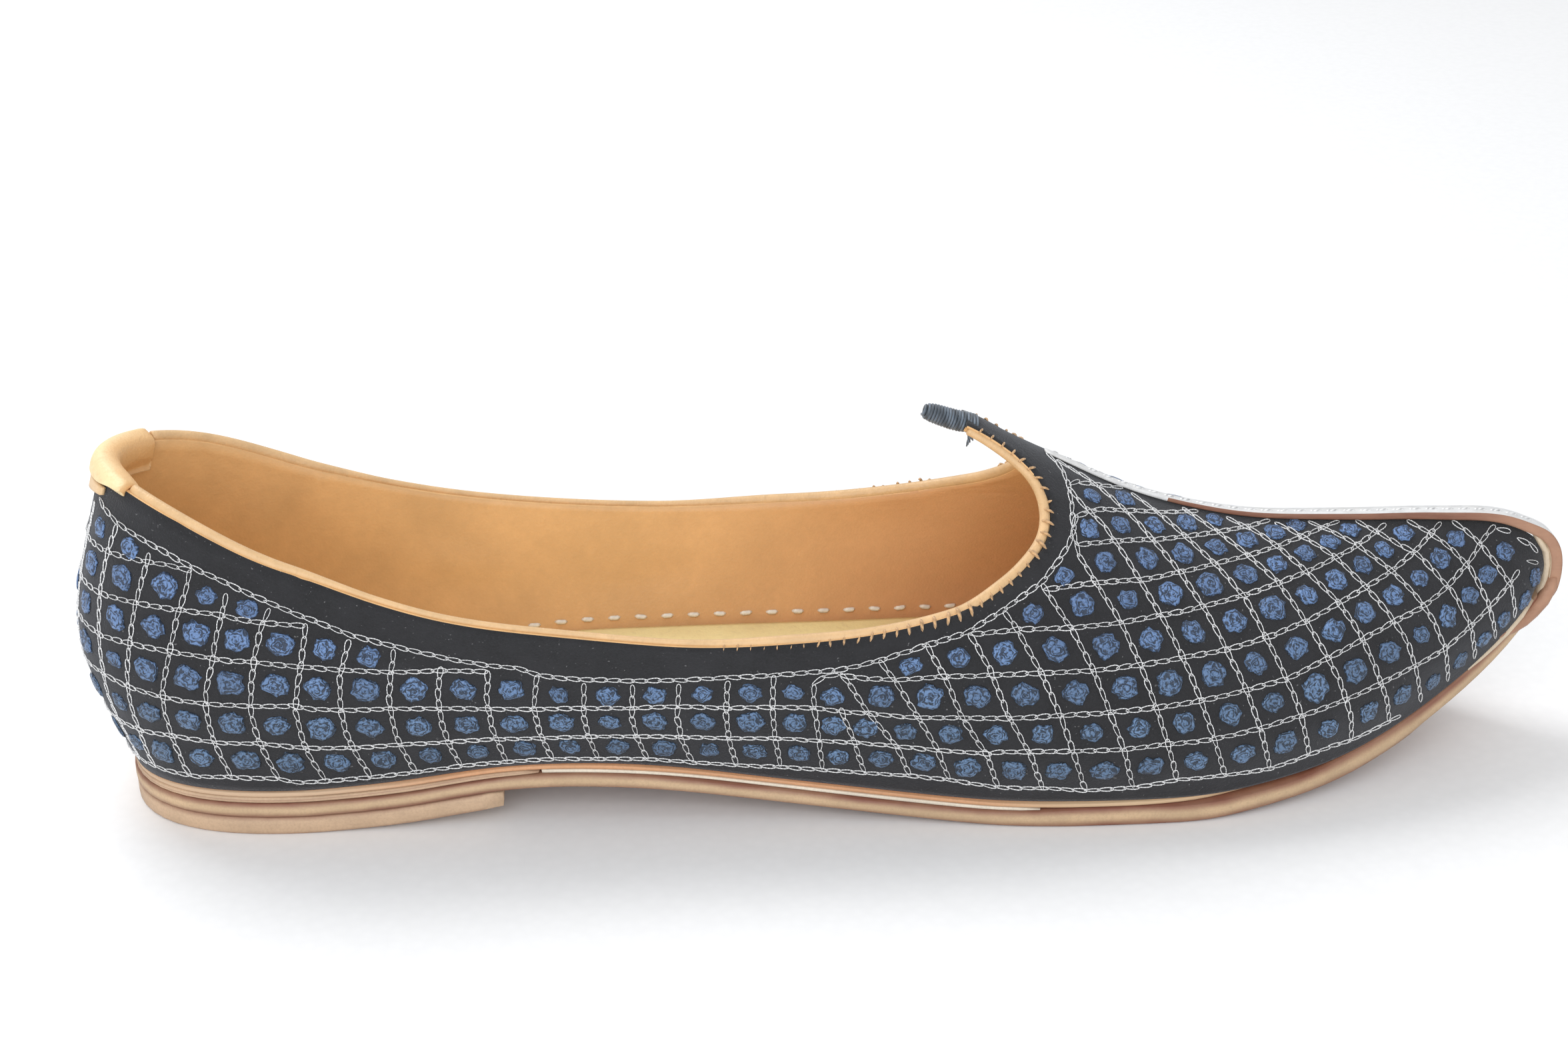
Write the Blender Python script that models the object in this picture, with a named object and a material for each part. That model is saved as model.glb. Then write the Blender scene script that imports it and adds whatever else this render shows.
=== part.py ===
"""A jutti: a leather slip-on shoe with a suede upper, an upturned toe and a stacked leather sole.

One shoe stands empty on its heel lift and forefoot, with its toe towards +X. Its form is straight and the
same on both sides of the XZ plane, so it fits either foot. Sizes and tables are in millimetres, with x
measured forward from the back of the heel. The mesh is centred on its length and scaled to metres.

The upper is a surface of two numbers. The run goes along the shoe: from the middle of the heel's back
(-HEEL_RUN), round the heel to its side (0), and then straight on to the toe. The girth goes up the side:
0 at the feather edge on the sole, a third at the belly, two thirds at the collar edge and 1 at the ridge.
"""
import math

import bmesh
import bpy
import numpy as np

MM = 0.001
LENGTH = 293.8
GAP = 0.3
WELD = 0.00002

# Upper
WALL = 2.2
HEEL_AXIS = 45.0
HEEL_RUN = 62.0
HEEL_STEPS = 18
FOOT_POWER = 2.6
COLLAR_POWER = 1.85
COLLAR_GIRTH = 2 / 3
THROAT_START = 168.0
BEAK_START = 181.0
TOE_ROW = 287.0
NOSE_LOW = (289.2, 31.0)
NOSE_HIGH = (288.2, 41.5)
NOSE_BULGE = 2.3
SHARP_ANGLE = 40.0

# Half section of the upper, from the side of the heel to the toe
SECTION_COLUMNS = ("x", "foot", "belly", "belly_z", "collar", "collar_z", "crown", "crown_z")
SECTIONS = (
    (45, 24.2, 27.2, 31.0, 24.4, 54.7, 22.0, 73.0),
    (70, 23.4, 27.6, 28.0, 28.2, 46.8, 27.0, 64.6),
    (95, 24.3, 28.4, 26.5, 29.6, 42.8, 29.0, 60.0),
    (130, 26.4, 30.6, 24.5, 31.7, 40.3, 30.0, 58.0),
    (152, 28.4, 32.6, 23.5, 31.4, 41.4, 16.0, 70.0),
    (168, 30.6, 34.0, 22.5, 29.4, 44.2, 0.0, 73.6),
    (185, 32.6, 35.4, 22.0, 23.0, 48.5, 0.0, 65.6),
    (205, 33.4, 35.4, 20.0, 23.0, 42.0, 0.0, 55.5),
    (225, 31.6, 32.8, 20.0, 22.0, 37.5, 0.0, 49.6),
    (248, 24.0, 25.6, 22.0, 18.0, 37.0, 0.0, 47.7),
    (268, 14.4, 16.0, 26.5, 11.5, 37.5, 0.0, 47.0),
    (282, 7.2, 8.0, 31.0, 5.9, 37.8, 0.0, 45.3),
    (290, 2.6, 3.0, 33.5, 2.2, 36.5, 0.0, 41.0),
)
# Line of the heel's back, as distances behind the heel axis
BACK = {
    "foot": 36.8,
    "belly": 45.0,
    "belly_z": 36.0,
    "collar": 37.4,
    "collar_z": 69.0,
    "crown": 33.0,
    "crown_z": 87.0,
}

# Edge of the throat, from the collar round the front of the opening to the beak
THROAT_COLUMNS = ("x", "girth")
THROAT = (
    (168.0, COLLAR_GIRTH),
    (175.0, 0.672),
    (180.0, 0.685),
    (184.0, 0.720),
    (186.6, 0.770),
    (187.3, 0.820),
    (186.6, 0.870),
    (184.4, 0.912),
    (181.0, 0.938),
    (177.0, 0.953),
    (172.0, 0.966),
)
THROAT_BEAK_ROW = 8

# Sole: half width, underside of the outsole, and height from there to the feather edge
SOLE_COLUMNS = ("x", "half", "under", "stack")
SOLE = (
    (45, 25.2, 3.9, 5.3),
    (62, 24.8, 4.8, 5.3),
    (81, 24.4, 7.5, 5.0),
    (95, 25.2, 8.1, 4.85),
    (110, 26.2, 7.4, 4.85),
    (134, 27.6, 4.2, 4.9),
    (160, 30.4, 1.2, 5.0),
    (180, 33.4, 0.0, 5.05),
    (212, 34.4, 0.0, 5.05),
    (230, 31.2, 1.3, 5.0),
    (246, 25.4, 3.4, 4.9),
    (261, 18.4, 8.2, 4.8),
    (273, 12.0, 14.0, 4.7),
    (283, 6.2, 20.4, 4.5),
    (291, 1.6, 28.6, 4.0),
)
SOLE_BACK = 37.2
OUTSOLE = 2.7
MIDSOLE = 0.7
LIFT = 3.6
LIFT_END = 81.0
WEDGE_END = 88.0
RAND_START = WEDGE_END + GAP
RAND_THIN = 160.0
RAND_END = 184.0
RAND_TAPER = 0.4
MIDSOLE_SEAT = 190.0
MIDSOLE_END = 238.0
OUTSOLE_FULL = 243.0
OUTSOLE_END = 289.0
INSOLE_END = 272.0
ROUND = 0.35
LIFT_INSET, WEDGE_INSET, RAND_INSET, MIDSOLE_INSET = 0.2, 0.3, 0.5, 0.4
SOLE_HEEL_STEPS = 9
SIDE_STEP, TOE_STEP = 8.0, 6.0

# Insole with the filler that levels the foot's bed, thickest under the ball of the foot
INSOLE_COLUMNS = ("x", "thick")
INSOLE = (
    (45, 3.0),
    (81, 3.2),
    (95, 3.3),
    (110, 3.1),
    (125, 3.9),
    (145, 5.1),
    (165, 5.8),
    (185, 5.4),
    (210, 4.6),
    (240, 3.3),
    (272, 2.2),
)

# Collar binding
BEAD = 0.95
BEAD_AT_BEAK = 0.65
BEAD_STEP = 6.0
BEAD_HEEL_STEPS = 9
BEAD_THROAT_STEPS = 23
BEAD_LAST_SHARE = 0.985

# Heel pad and tab: lower edges as girths, at the heel's back and at the ends
PAD_STEPS = 5
PAD_END = -46.5
PAD_THICK = 1.5
PAD_CROWN = 1.0
PAD_SHOULDER = 0.7
PAD_LOW_BACK, PAD_LOW_END, PAD_LOW_INSIDE = 0.650, 0.660, 0.61
TAB_STEPS = 3
TAB_LOW_BACK, TAB_LOW_END = 0.606, 0.632
TAB_UNDER_PAD = 0.006
TAB_THICK = 1.0

# Toe strip and wrap
STRIP_START = 187.6
RIDGE_STEPS = 23
STRIP_COLUMNS = ("x", "half", "thick")
STRIP = (
    (187, 0.7, 0.7),
    (205, 0.9, 0.8),
    (225, 1.2, 1.0),
    (245, 1.5, 1.3),
    (265, 1.65, 1.6),
    (280, 1.8, 1.9),
    (290, 1.8, 2.36),
    (294, 1.8, 2.46),
)
# Inner face of the strip round the tip of the toe, down to the front of the sole
TIP = (
    (289.0, 42.2),
    (290.8, 39.5),
    (291.4, 36.2),
    (291.3, 32.7),
    (290.6, 29.4),
    (289.4, 26.3),
    (287.3, 24.0),
)
# Middle line and radius of the wrap
WRAP = (
    (170.9, 71.1, 1.85),
    (169.2, 71.8, 1.85),
    (167.2, 72.7, 1.65),
    (165.6, 73.4, 1.35),
    (164.6, 73.9, 0.8),
)

COLOURS = {
    "upper": ((0.012, 0.012, 0.014), 0.95),
    "insole": ((0.88, 0.60, 0.26), 0.6),
    "midsole": ((0.66, 0.40, 0.22), 0.6),
    "rand": ((0.66, 0.57, 0.46), 0.7),
    "heel_wedge": ((0.68, 0.44, 0.26), 0.6),
    "outsole": ((0.52, 0.29, 0.16), 0.55),
    "heel_lift": ((0.66, 0.44, 0.24), 0.6),
    "collar_binding_left": ((0.78, 0.46, 0.19), 0.5),
    "collar_binding_right": ((0.78, 0.46, 0.19), 0.5),
    "heel_pad": ((0.86, 0.62, 0.30), 0.5),
    "heel_tab": ((0.72, 0.42, 0.18), 0.5),
    "toe_strip": ((0.70, 0.71, 0.72), 0.4),
    "throat_wrap": ((0.035, 0.06, 0.12), 0.8),
}


def smooth(rows, columns, name, x):
    """Read a column of a table at x, on a cubic curve that doesn't overshoot its rows."""
    table = np.asarray(rows, float)
    xs = table[:, 0]
    values = table[:, columns.index(name)]
    steps = np.diff(xs)
    slopes = np.diff(values) / steps
    tangents = np.zeros(len(xs))
    tangents[0], tangents[-1] = slopes[0], slopes[-1]
    for i in range(1, len(xs) - 1):
        if slopes[i - 1] * slopes[i] > 0:
            tangents[i] = (slopes[i - 1] * steps[i] + slopes[i] * steps[i - 1]) / (steps[i - 1] + steps[i])
    i = int(np.clip(np.searchsorted(xs, x) - 1, 0, len(xs) - 2))
    step = steps[i]
    t = (x - xs[i]) / step
    start = (1 + 2 * t) * (1 - t) ** 2 * values[i] + t * (1 - t) ** 2 * step * tangents[i]
    end = t * t * (3 - 2 * t) * values[i + 1] - t * t * (1 - t) * step * tangents[i + 1]
    return float(start + end)


def sole(name, x):
    """Read the sole table; the heel behind its axis is level."""
    return smooth(SOLE, SOLE_COLUMNS, name, max(x, HEEL_AXIS))


def feather_z(x):
    """Height of the upper's lower edge."""
    return sole("under", x) + sole("stack", x)


def through(points, t):
    """Catmull-Rom curve between the middle two of four points."""
    a, b, c, d = points
    square = 2 * a - 5 * b + 4 * c - d
    cube = 3 * b - a - 3 * c + d
    return 0.5 * (2 * b + (c - a) * t + square * t ** 2 + cube * t ** 3)


def profile(values, low, girth):
    """Reach from the spine and height of a half section at a girth."""
    reach = [values["foot"], values["belly"], values["collar"], values["crown"]]
    height = [low, values["belly_z"], values["collar_z"], values["crown_z"]]
    reach = [2 * reach[0] - reach[1], *reach, 2 * reach[3] - reach[2]]
    height = [2 * height[0] - height[1], *height, height[2]]
    place = 3 * girth
    i = min(int(place), 2)
    return through(reach[i:i + 4], place - i), through(height[i:i + 4], place - i)


def side_profile(x, girth):
    """Half section of the upper at x, from the side of the heel to the toe."""
    values = {name: smooth(SECTIONS, SECTION_COLUMNS, name, x) for name in SECTION_COLUMNS[1:]}
    if x >= THROAT_START:
        values["crown"] = 0.0
    return profile(values, feather_z(x), girth)


def heel_reach(turn, back, side, power):
    """Distance from the heel axis to a rounded heel outline at an angle from the back."""
    return ((math.cos(turn) / back) ** power + (math.sin(turn) / side) ** power) ** (-1 / power)


def heel_turn(run):
    """Angle round the heel axis, 0 at the back and a right angle at the side."""
    return max(0.0, (1 + run / HEEL_RUN) * math.pi / 2)


def spread(run, reach, z):
    """Point at a reach from the spine: round the axis at the heel, sideways ahead of it."""
    if run >= 0:
        return np.array((HEEL_AXIS + run, reach, z))
    turn = heel_turn(run)
    sideways = reach * math.sin(turn) if run > -HEEL_RUN else 0.0
    return np.array((HEEL_AXIS - reach * math.cos(turn), sideways, z))


def upper_point(run, girth):
    """Point on the outside of the upper's left half."""
    girth = min(max(girth, 0.0), 1.0)
    if run >= 0:
        reach, z = side_profile(HEEL_AXIS + run, girth)
        return spread(run, reach if girth < 1 else 0.0, z)
    turn = heel_turn(run)
    side, side_z = side_profile(HEEL_AXIS, girth)
    back, back_z = profile(BACK, feather_z(HEEL_AXIS), girth)
    share = min(girth / COLLAR_GIRTH, 1.0)
    power = FOOT_POWER + (COLLAR_POWER - FOOT_POWER) * share
    rise = math.cos(turn) * (1 + math.cos(turn)) / 2
    return spread(run, heel_reach(turn, back, side, power), side_z + (back_z - side_z) * rise)


def unit(vector):
    """Vector of length one."""
    return vector / np.linalg.norm(vector)


def upper_frame(run, girth):
    """Point, outward normal and upward direction on the upper's left half."""
    step = 0.01
    stride = 0.2
    up = unit(upper_point(run, min(girth + step, 1.0)) - upper_point(run, girth - step))
    along = upper_point(run + stride, girth) - upper_point(max(run - stride, -HEEL_RUN), girth)
    normal = np.cross(up, along)
    if run <= -HEEL_RUN:
        normal[1] = 0.0
        up[1] = 0.0
    return upper_point(run, girth), unit(normal), unit(up)


def throat_point(share):
    """Run and girth on the throat's edge, at a share of the way from the collar to the beak's end."""
    steps = [0.0]
    for (x0, g0), (x1, g1) in zip(THROAT, THROAT[1:]):
        girth_length = 70.0
        steps.append(steps[-1] + math.hypot(x1 - x0, (g1 - g0) * girth_length))
    rows = [(step, *row) for step, row in zip(steps, THROAT)]
    columns = ("way", *THROAT_COLUMNS)
    way = share * steps[-1]
    return smooth(rows, columns, "x", way) - HEEL_AXIS, smooth(rows, columns, "girth", way)


def throat_share(row):
    """Share of the throat's edge at one row of its table."""
    low, high = 0.0, 1.0
    for _ in range(40):
        middle = (low + high) / 2
        if throat_point(middle)[1] < THROAT[row][1]:
            low = middle
        else:
            high = middle
    return (low + high) / 2


def placed(point):
    """Millimetres from the heel's back to metres from the middle of the shoe."""
    return ((point[0] - LENGTH / 2) * MM, point[1] * MM, point[2] * MM)


def add_grid(mesh, rows):
    """Add a sheet of quads through rows of points and return its vertices, row by row."""
    count = len(rows[0])
    grid = bmesh.ops.create_grid(mesh, x_segments=count - 1, y_segments=len(rows) - 1, size=0.5)
    points = [point for row in rows for point in row]
    for vertex, point in zip(grid["verts"], points):
        vertex.co = placed(point)
    return [grid["verts"][i:i + count] for i in range(0, len(points), count)]


def add_object(name, data):
    """Link an object with its own leather, thread or suede material."""
    colour, roughness = COLOURS[name]
    material = bpy.data.materials.new(name)
    material.use_nodes = True
    shader = material.node_tree.nodes["Principled BSDF"]
    shader.inputs["Base Color"].default_value = (*colour, 1.0)
    shader.inputs["Roughness"].default_value = roughness
    shader.inputs["Metallic"].default_value = 0.0
    data.materials.append(material)
    piece = bpy.data.objects.new(name, data)
    bpy.context.collection.objects.link(piece)
    return piece


def add_halves(name, mesh):
    """Make an object from its left half and a Mirror modifier."""
    bmesh.ops.remove_doubles(mesh, verts=mesh.verts, dist=WELD)
    data = bpy.data.meshes.new(name)
    mesh.to_mesh(data)
    mesh.free()
    data.shade_smooth()
    data.set_sharp_from_angle(angle=math.radians(SHARP_ANGLE))
    piece = add_object(name, data)
    mirror = piece.modifiers.new("Halves", "MIRROR")
    mirror.use_axis = (False, True, False)
    mirror.use_mirror_merge = True
    mirror.merge_threshold = WELD
    return piece


def add_shell(name, sheets, thickness, offset):
    """Make a mirrored shell from sheets of points; offset -1 thickens it inwards and 1 outwards."""
    mesh = bmesh.new()
    for rows in sheets:
        add_grid(mesh, rows)
    piece = add_halves(name, mesh)
    solid = piece.modifiers.new("Wall", "SOLIDIFY")
    solid.thickness = thickness * MM
    solid.offset = offset
    solid.use_even_offset = True
    solid.use_quality_normals = True
    return piece


def add_bar(name, rows, first_cap, last_cap):
    """Make a mirrored solid from half sections that start and end on the middle plane."""
    mesh = bmesh.new()
    grid = add_grid(mesh, rows)
    if first_cap:
        mesh.faces.new(grid[0][::-1])
    if last_cap:
        mesh.faces.new(grid[-1])
    return add_halves(name, mesh)


def add_tube(name, points, radii):
    """Make a round cord along points, with a radius at each."""
    data = bpy.data.curves.new(name, "CURVE")
    data.dimensions = "3D"
    data.bevel_depth = MM
    data.bevel_resolution = 2
    data.use_fill_caps = True
    line = data.splines.new("POLY")
    line.points.add(len(points) - 1)
    for spot, point, radius in zip(line.points, points, radii):
        spot.co = (*placed(point), 1.0)
        spot.radius = radius
    return add_object(name, data)


def runs_between(start, end, heel_steps, side_step):
    """Runs from the heel's back, or from a start ahead of the heel axis, to an end."""
    heel = list(np.linspace(-HEEL_RUN, 0, heel_steps + 1)[:-1]) if start < 0 else []
    first = max(start, 0.0)
    count = max(1, round((end - first) / side_step))
    return heel + list(np.linspace(first, end, count + 1))


def make_upper():
    """Hollow upper, open at the collar and throat and underneath."""
    side_columns, throat_columns, beak_columns = 8, 11, 2
    columns = side_columns + throat_columns + beak_columns
    quarter_runs = runs_between(-HEEL_RUN, THROAT_START - HEEL_AXIS, HEEL_STEPS, SIDE_STEP)
    girths = np.linspace(0, COLLAR_GIRTH, side_columns + 1)
    quarter = [[upper_point(run, girth) for girth in girths] for run in quarter_runs]

    beak_share = throat_share(THROAT_BEAK_ROW)
    edge = [(THROAT_START - HEEL_AXIS, girth) for girth in girths]
    edge += [throat_point(beak_share * k / throat_columns) for k in range(1, throat_columns)]
    beak_girths = np.linspace(THROAT[THROAT_BEAK_ROW][1], 1, beak_columns + 1)
    edge += [(BEAK_START - HEEL_AXIS, girth) for girth in beak_girths]
    vamp = []
    vamp_rows = 19
    for i in range(vamp_rows + 1):
        share = i / vamp_rows
        ease = 1 - (1 - share) ** 2
        row = []
        for k, (run, girth) in enumerate(edge):
            far = TOE_ROW - HEEL_AXIS
            row.append(upper_point(run + (far - run) * share, girth + (k / columns - girth) * ease))
        vamp.append(row)
    nose = []
    for k in range(columns + 1):
        share = k / columns
        x = NOSE_LOW[0] + (NOSE_HIGH[0] - NOSE_LOW[0]) * share + NOSE_BULGE * math.sin(math.pi * share)
        nose.append((x, 0.0, NOSE_LOW[1] + (NOSE_HIGH[1] - NOSE_LOW[1]) * share))
    vamp.append(nose)

    beak = []
    beak_rows = 4
    for i in range(beak_rows + 1):
        run, girth = throat_point(1 + (beak_share - 1) * i / beak_rows)
        if i == beak_rows:
            run, girth = BEAK_START - HEEL_AXIS, THROAT[THROAT_BEAK_ROW][1]
        beak.append([upper_point(run, g) for g in np.linspace(girth, 1, beak_columns + 1)])
    add_shell("upper", (quarter, vamp, beak), WALL, -1)


def sole_reach(run):
    """Distance from the spine to the edge of the sole."""
    if run >= 0:
        return sole("half", HEEL_AXIS + run)
    return heel_reach(heel_turn(run), SOLE_BACK, sole("half", HEEL_AXIS), FOOT_POWER)


def wall_reach(run, z):
    """Distance from the spine to the inside of the upper's wall at a height, less a gap."""
    low, high = 0.0, COLLAR_GIRTH
    for _ in range(30):
        girth = (low + high) / 2
        if upper_point(run, girth)[2] < z:
            low = girth
        else:
            high = girth
    point, normal, _ = upper_frame(run, low)
    outwards = point - spread(run, 0.0, point[2])
    reach = np.linalg.norm(outwards)
    return reach - (WALL + GAP) / np.dot(normal, outwards / reach)


def layer_section(run, low_edge, high_edge, bottom, top):
    """Half section of a flat layer with rounded edges."""
    lip = min(ROUND, (top - bottom) / 3)
    corners = (
        (0, bottom),
        (low_edge - lip, bottom),
        (low_edge, bottom + lip),
        (high_edge, top - lip),
        (high_edge - lip, top),
        (0, top),
    )
    return [spread(run, out, z) for out, z in corners]


def layer_rows(runs, inset, low, high):
    """Half sections of a layer of the sole, whose faces are at low(x) and high(x)."""
    rows = []
    for run in runs:
        x = HEEL_AXIS + max(run, 0.0)
        edge = sole_reach(run) - inset
        rows.append(layer_section(run, edge, edge, low(x), high(x)))
    return rows


def insole_rows(runs):
    """Half sections of the insole, which fills the width between the upper's walls."""
    rows = []
    for run in runs:
        x = HEEL_AXIS + max(run, 0.0)
        bottom = feather_z(x)
        top = bottom + smooth(INSOLE, INSOLE_COLUMNS, "thick", x)
        rows.append(layer_section(run, wall_reach(run, bottom), wall_reach(run, top), bottom, top))
    return rows


def passed(x, start, end):
    """0 before the start, 1 past the end, and the share of the way between them."""
    return min(max((x - start) / (end - start), 0.0), 1.0)


def outsole_top(x):
    """Top of the outsole, which reaches the midsole past the rand and the upper itself at the toe."""
    top = sole("under", x) + OUTSOLE + RAND_TAPER * passed(x, RAND_THIN, RAND_END)
    top += (midsole_low(x) - GAP - top) * passed(x, RAND_END, MIDSOLE_SEAT)
    return top + (feather_z(x) - GAP - top) * passed(x, MIDSOLE_END, OUTSOLE_FULL)


def lift_low(x):
    """Underside of the heel lift, which stands on the floor."""
    return max(0.0, sole("under", x) - GAP - LIFT)


def midsole_low(x):
    """Underside of the midsole."""
    return feather_z(x) - GAP - MIDSOLE


def make_sole():
    """Heel lift, outsole, wedge, rand and midsole, from the floor up, and the insole inside."""
    back = -HEEL_RUN
    runs = runs_between(back, LIFT_END - HEEL_AXIS, SOLE_HEEL_STEPS, SIDE_STEP)
    rows = layer_rows(runs, LIFT_INSET, lift_low, lambda x: sole("under", x) - GAP)
    add_bar("heel_lift", rows, False, True)
    runs = runs_between(back, RAND_END - HEEL_AXIS, SOLE_HEEL_STEPS, SIDE_STEP)
    runs += runs_between(RAND_END - HEEL_AXIS, MIDSOLE_END - HEEL_AXIS, SOLE_HEEL_STEPS, TOE_STEP)[1:]
    rows = layer_rows(runs, MIDSOLE_INSET, midsole_low, lambda x: feather_z(x) - GAP)
    add_bar("midsole", rows, False, True)
    runs += runs_between(MIDSOLE_END - HEEL_AXIS, OUTSOLE_END - HEEL_AXIS, SOLE_HEEL_STEPS, TOE_STEP)[1:]
    add_bar("outsole", layer_rows(runs, 0.0, lambda x: sole("under", x), outsole_top), False, True)
    runs = runs_between(back, WEDGE_END - HEEL_AXIS, SOLE_HEEL_STEPS, SIDE_STEP)
    rows = layer_rows(runs, WEDGE_INSET, lambda x: outsole_top(x) + GAP, lambda x: midsole_low(x) - GAP)
    add_bar("heel_wedge", rows, False, True)
    runs = runs_between(RAND_START - HEEL_AXIS, RAND_END - HEEL_AXIS, SOLE_HEEL_STEPS, SIDE_STEP)
    rows = layer_rows(runs, RAND_INSET, lambda x: outsole_top(x) + GAP, lambda x: midsole_low(x) - GAP)
    add_bar("rand", rows, True, True)
    runs = runs_between(back, INSOLE_END - HEEL_AXIS, SOLE_HEEL_STEPS, SIDE_STEP)
    add_bar("insole", insole_rows(runs), False, True)


def make_binding():
    """Rolled edge that sits on the collar and round the throat, thinner along the beak."""
    collar_runs = runs_between(0.0, THROAT_START - HEEL_AXIS, 0, BEAD_STEP)
    heel_runs = np.linspace(PAD_END + GAP, 0, BEAD_HEEL_STEPS + 1)[:-1]
    throat = [throat_point(share) for share in np.linspace(0, BEAD_LAST_SHARE, BEAD_THROAT_STEPS + 1)[1:]]
    places = [(run, COLLAR_GIRTH) for run in [*heel_runs, *collar_runs]] + throat
    frames = [upper_frame(run, girth) for run, girth in places]
    middles = [point - normal * WALL / 2 for point, normal, _ in frames]
    points = []
    radii = []
    taper_start = len(places) - len(throat) // 2
    for i, (middle, frame) in enumerate(zip(middles, frames)):
        along = unit(middles[min(i + 1, len(middles) - 1)] - middles[max(i - 1, 0)])
        outwards = unit(np.cross(frame[1], -along))
        share = max(0.0, (i - taper_start) / (len(places) - 1 - taper_start))
        radius = BEAD + (BEAD_AT_BEAK - BEAD) * share
        points.append(middle + outwards * (radius + GAP))
        radii.append(radius)
    add_tube("collar_binding_left", points, radii)
    add_tube("collar_binding_right", [point * (1, -1, 1) for point in points], radii)


def make_heel():
    """Pad that straddles the collar at the heel's back, and the tab under its outside."""
    stations = np.linspace(-HEEL_RUN, PAD_END, PAD_STEPS + 1)
    lows = np.linspace(PAD_LOW_BACK, PAD_LOW_END, PAD_STEPS + 1)
    pad = []
    for run, low in zip(stations, lows):
        edge, normal, up = upper_frame(run, COLLAR_GIRTH)
        row = []
        for girth in np.linspace(low, COLLAR_GIRTH, 3):
            point, out, _ = upper_frame(run, girth)
            row.append(point + out * GAP)
        row.append(edge + up * (GAP + PAD_CROWN * PAD_SHOULDER))
        row.append(edge - normal * WALL / 2 + up * (GAP + PAD_CROWN))
        row.append(edge - normal * WALL + up * (GAP + PAD_CROWN * PAD_SHOULDER))
        for girth in np.linspace(COLLAR_GIRTH, PAD_LOW_INSIDE, 4):
            point, out, _ = upper_frame(run, girth)
            row.append(point - out * (WALL + GAP))
        pad.append(row)
    add_shell("heel_pad", (pad,), PAD_THICK, 1)
    tab = []
    tab_lows = np.linspace(TAB_LOW_BACK, TAB_LOW_END, TAB_STEPS + 1)
    for run, low, pad_low in zip(stations, tab_lows, lows):
        row = []
        for girth in np.linspace(low, pad_low - TAB_UNDER_PAD, 3):
            point, out, _ = upper_frame(run, girth)
            row.append(point + out * GAP)
        tab.append(row)
    add_shell("heel_tab", (tab,), TAB_THICK, 1)


def make_strip():
    """Strip over the ridge, round the tip of the toe and down to the front of the sole."""
    ridge_xs = np.linspace(STRIP_START, TOE_ROW - 1, RIDGE_STEPS + 1)
    ridge = [upper_point(x - HEEL_AXIS, 1)[[0, 2]] + (0, GAP) for x in ridge_xs]
    line = np.array(ridge + [np.array(point) for point in TIP])
    rows = []
    for i, (x, z) in enumerate(line):
        before, after = line[max(i - 1, 0)], line[min(i + 1, len(line) - 1)]
        along = unit(after - before)
        half = smooth(STRIP, STRIP_COLUMNS, "half", x)
        thick = smooth(STRIP, STRIP_COLUMNS, "thick", x)
        top_x, top_z = x - along[1] * thick, z + along[0] * thick
        rows.append([(x, 0.0, z), (x, half, z), (top_x, half, top_z), (top_x, 0.0, top_z)])
    add_bar("toe_strip", rows, True, True)


def make_wrap():
    """Thread winding that binds the beak's end."""
    add_tube("throat_wrap", [(x, 0.0, z) for x, z, _ in WRAP], [radius for _, _, radius in WRAP])


def main():
    """Clear the scene and make each piece of the shoe."""
    for item in list(bpy.data.objects):
        bpy.data.objects.remove(item, do_unlink=True)
    make_sole()
    make_upper()
    make_binding()
    make_heel()
    make_strip()
    make_wrap()


main()
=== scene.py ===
"""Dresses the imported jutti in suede, leather and thread, and sets it on a pale floor under soft light."""

import functools
import math
import random

import bmesh
import bpy
import numpy as np
from mathutils import Matrix, Vector
from mathutils.bvhtree import BVHTree


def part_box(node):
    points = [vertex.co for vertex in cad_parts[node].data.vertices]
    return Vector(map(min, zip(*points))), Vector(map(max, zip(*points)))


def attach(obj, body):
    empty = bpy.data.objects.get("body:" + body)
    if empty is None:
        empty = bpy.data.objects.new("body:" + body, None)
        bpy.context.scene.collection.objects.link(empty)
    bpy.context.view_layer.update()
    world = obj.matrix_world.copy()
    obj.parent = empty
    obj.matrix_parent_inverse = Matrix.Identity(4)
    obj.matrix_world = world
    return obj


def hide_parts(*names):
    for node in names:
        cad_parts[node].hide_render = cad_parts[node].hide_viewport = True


bl_info = {
    "name": "Jutti",
    "version": (1, 0, 0),
    "blender": (4, 5, 0),
    "location": "View3D > Sidebar > Jutti",
    "description": "Dresses the jutti in suede, leather and embroidery",
    "category": "Object",
}

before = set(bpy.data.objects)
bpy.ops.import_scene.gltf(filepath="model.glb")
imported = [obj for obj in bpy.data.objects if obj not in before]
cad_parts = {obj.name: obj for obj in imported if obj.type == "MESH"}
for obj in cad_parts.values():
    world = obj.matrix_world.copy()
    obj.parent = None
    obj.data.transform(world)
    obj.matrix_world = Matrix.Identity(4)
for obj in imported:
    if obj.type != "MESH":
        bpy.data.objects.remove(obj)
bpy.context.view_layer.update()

# Sizes are in mm and x runs from the back of the heel, except where a comment says otherwise
MM = 0.001
UP = Vector((0.0, 0.0, 1.0))
UPPER_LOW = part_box("upper")[0]
SIDES = ((-1, "right"), (1, "left"))
# Seeds for how the stitches are set, and for the tones of the two embroideries
WHIP_SEED, INSOLE_SEED, CHAIN_SEED, ROSETTE_SEED = 11, 5, 21, 33
CHAIN_TONES, ROSETTE_TONES = 7, 40
# Axis that the heel's runs turn round, and the run from it to the middle of the heel's back
HEEL_AXIS, HEEL_RUN = 45.0, 62.0
HEEL_X = UPPER_LOW.x + HEEL_AXIS * MM

# How far each sole layer rises into the next, and how far in from a cut edge its height is measured
LAYER_GAP, EDGE_INSET = 0.32, 1.2
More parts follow.
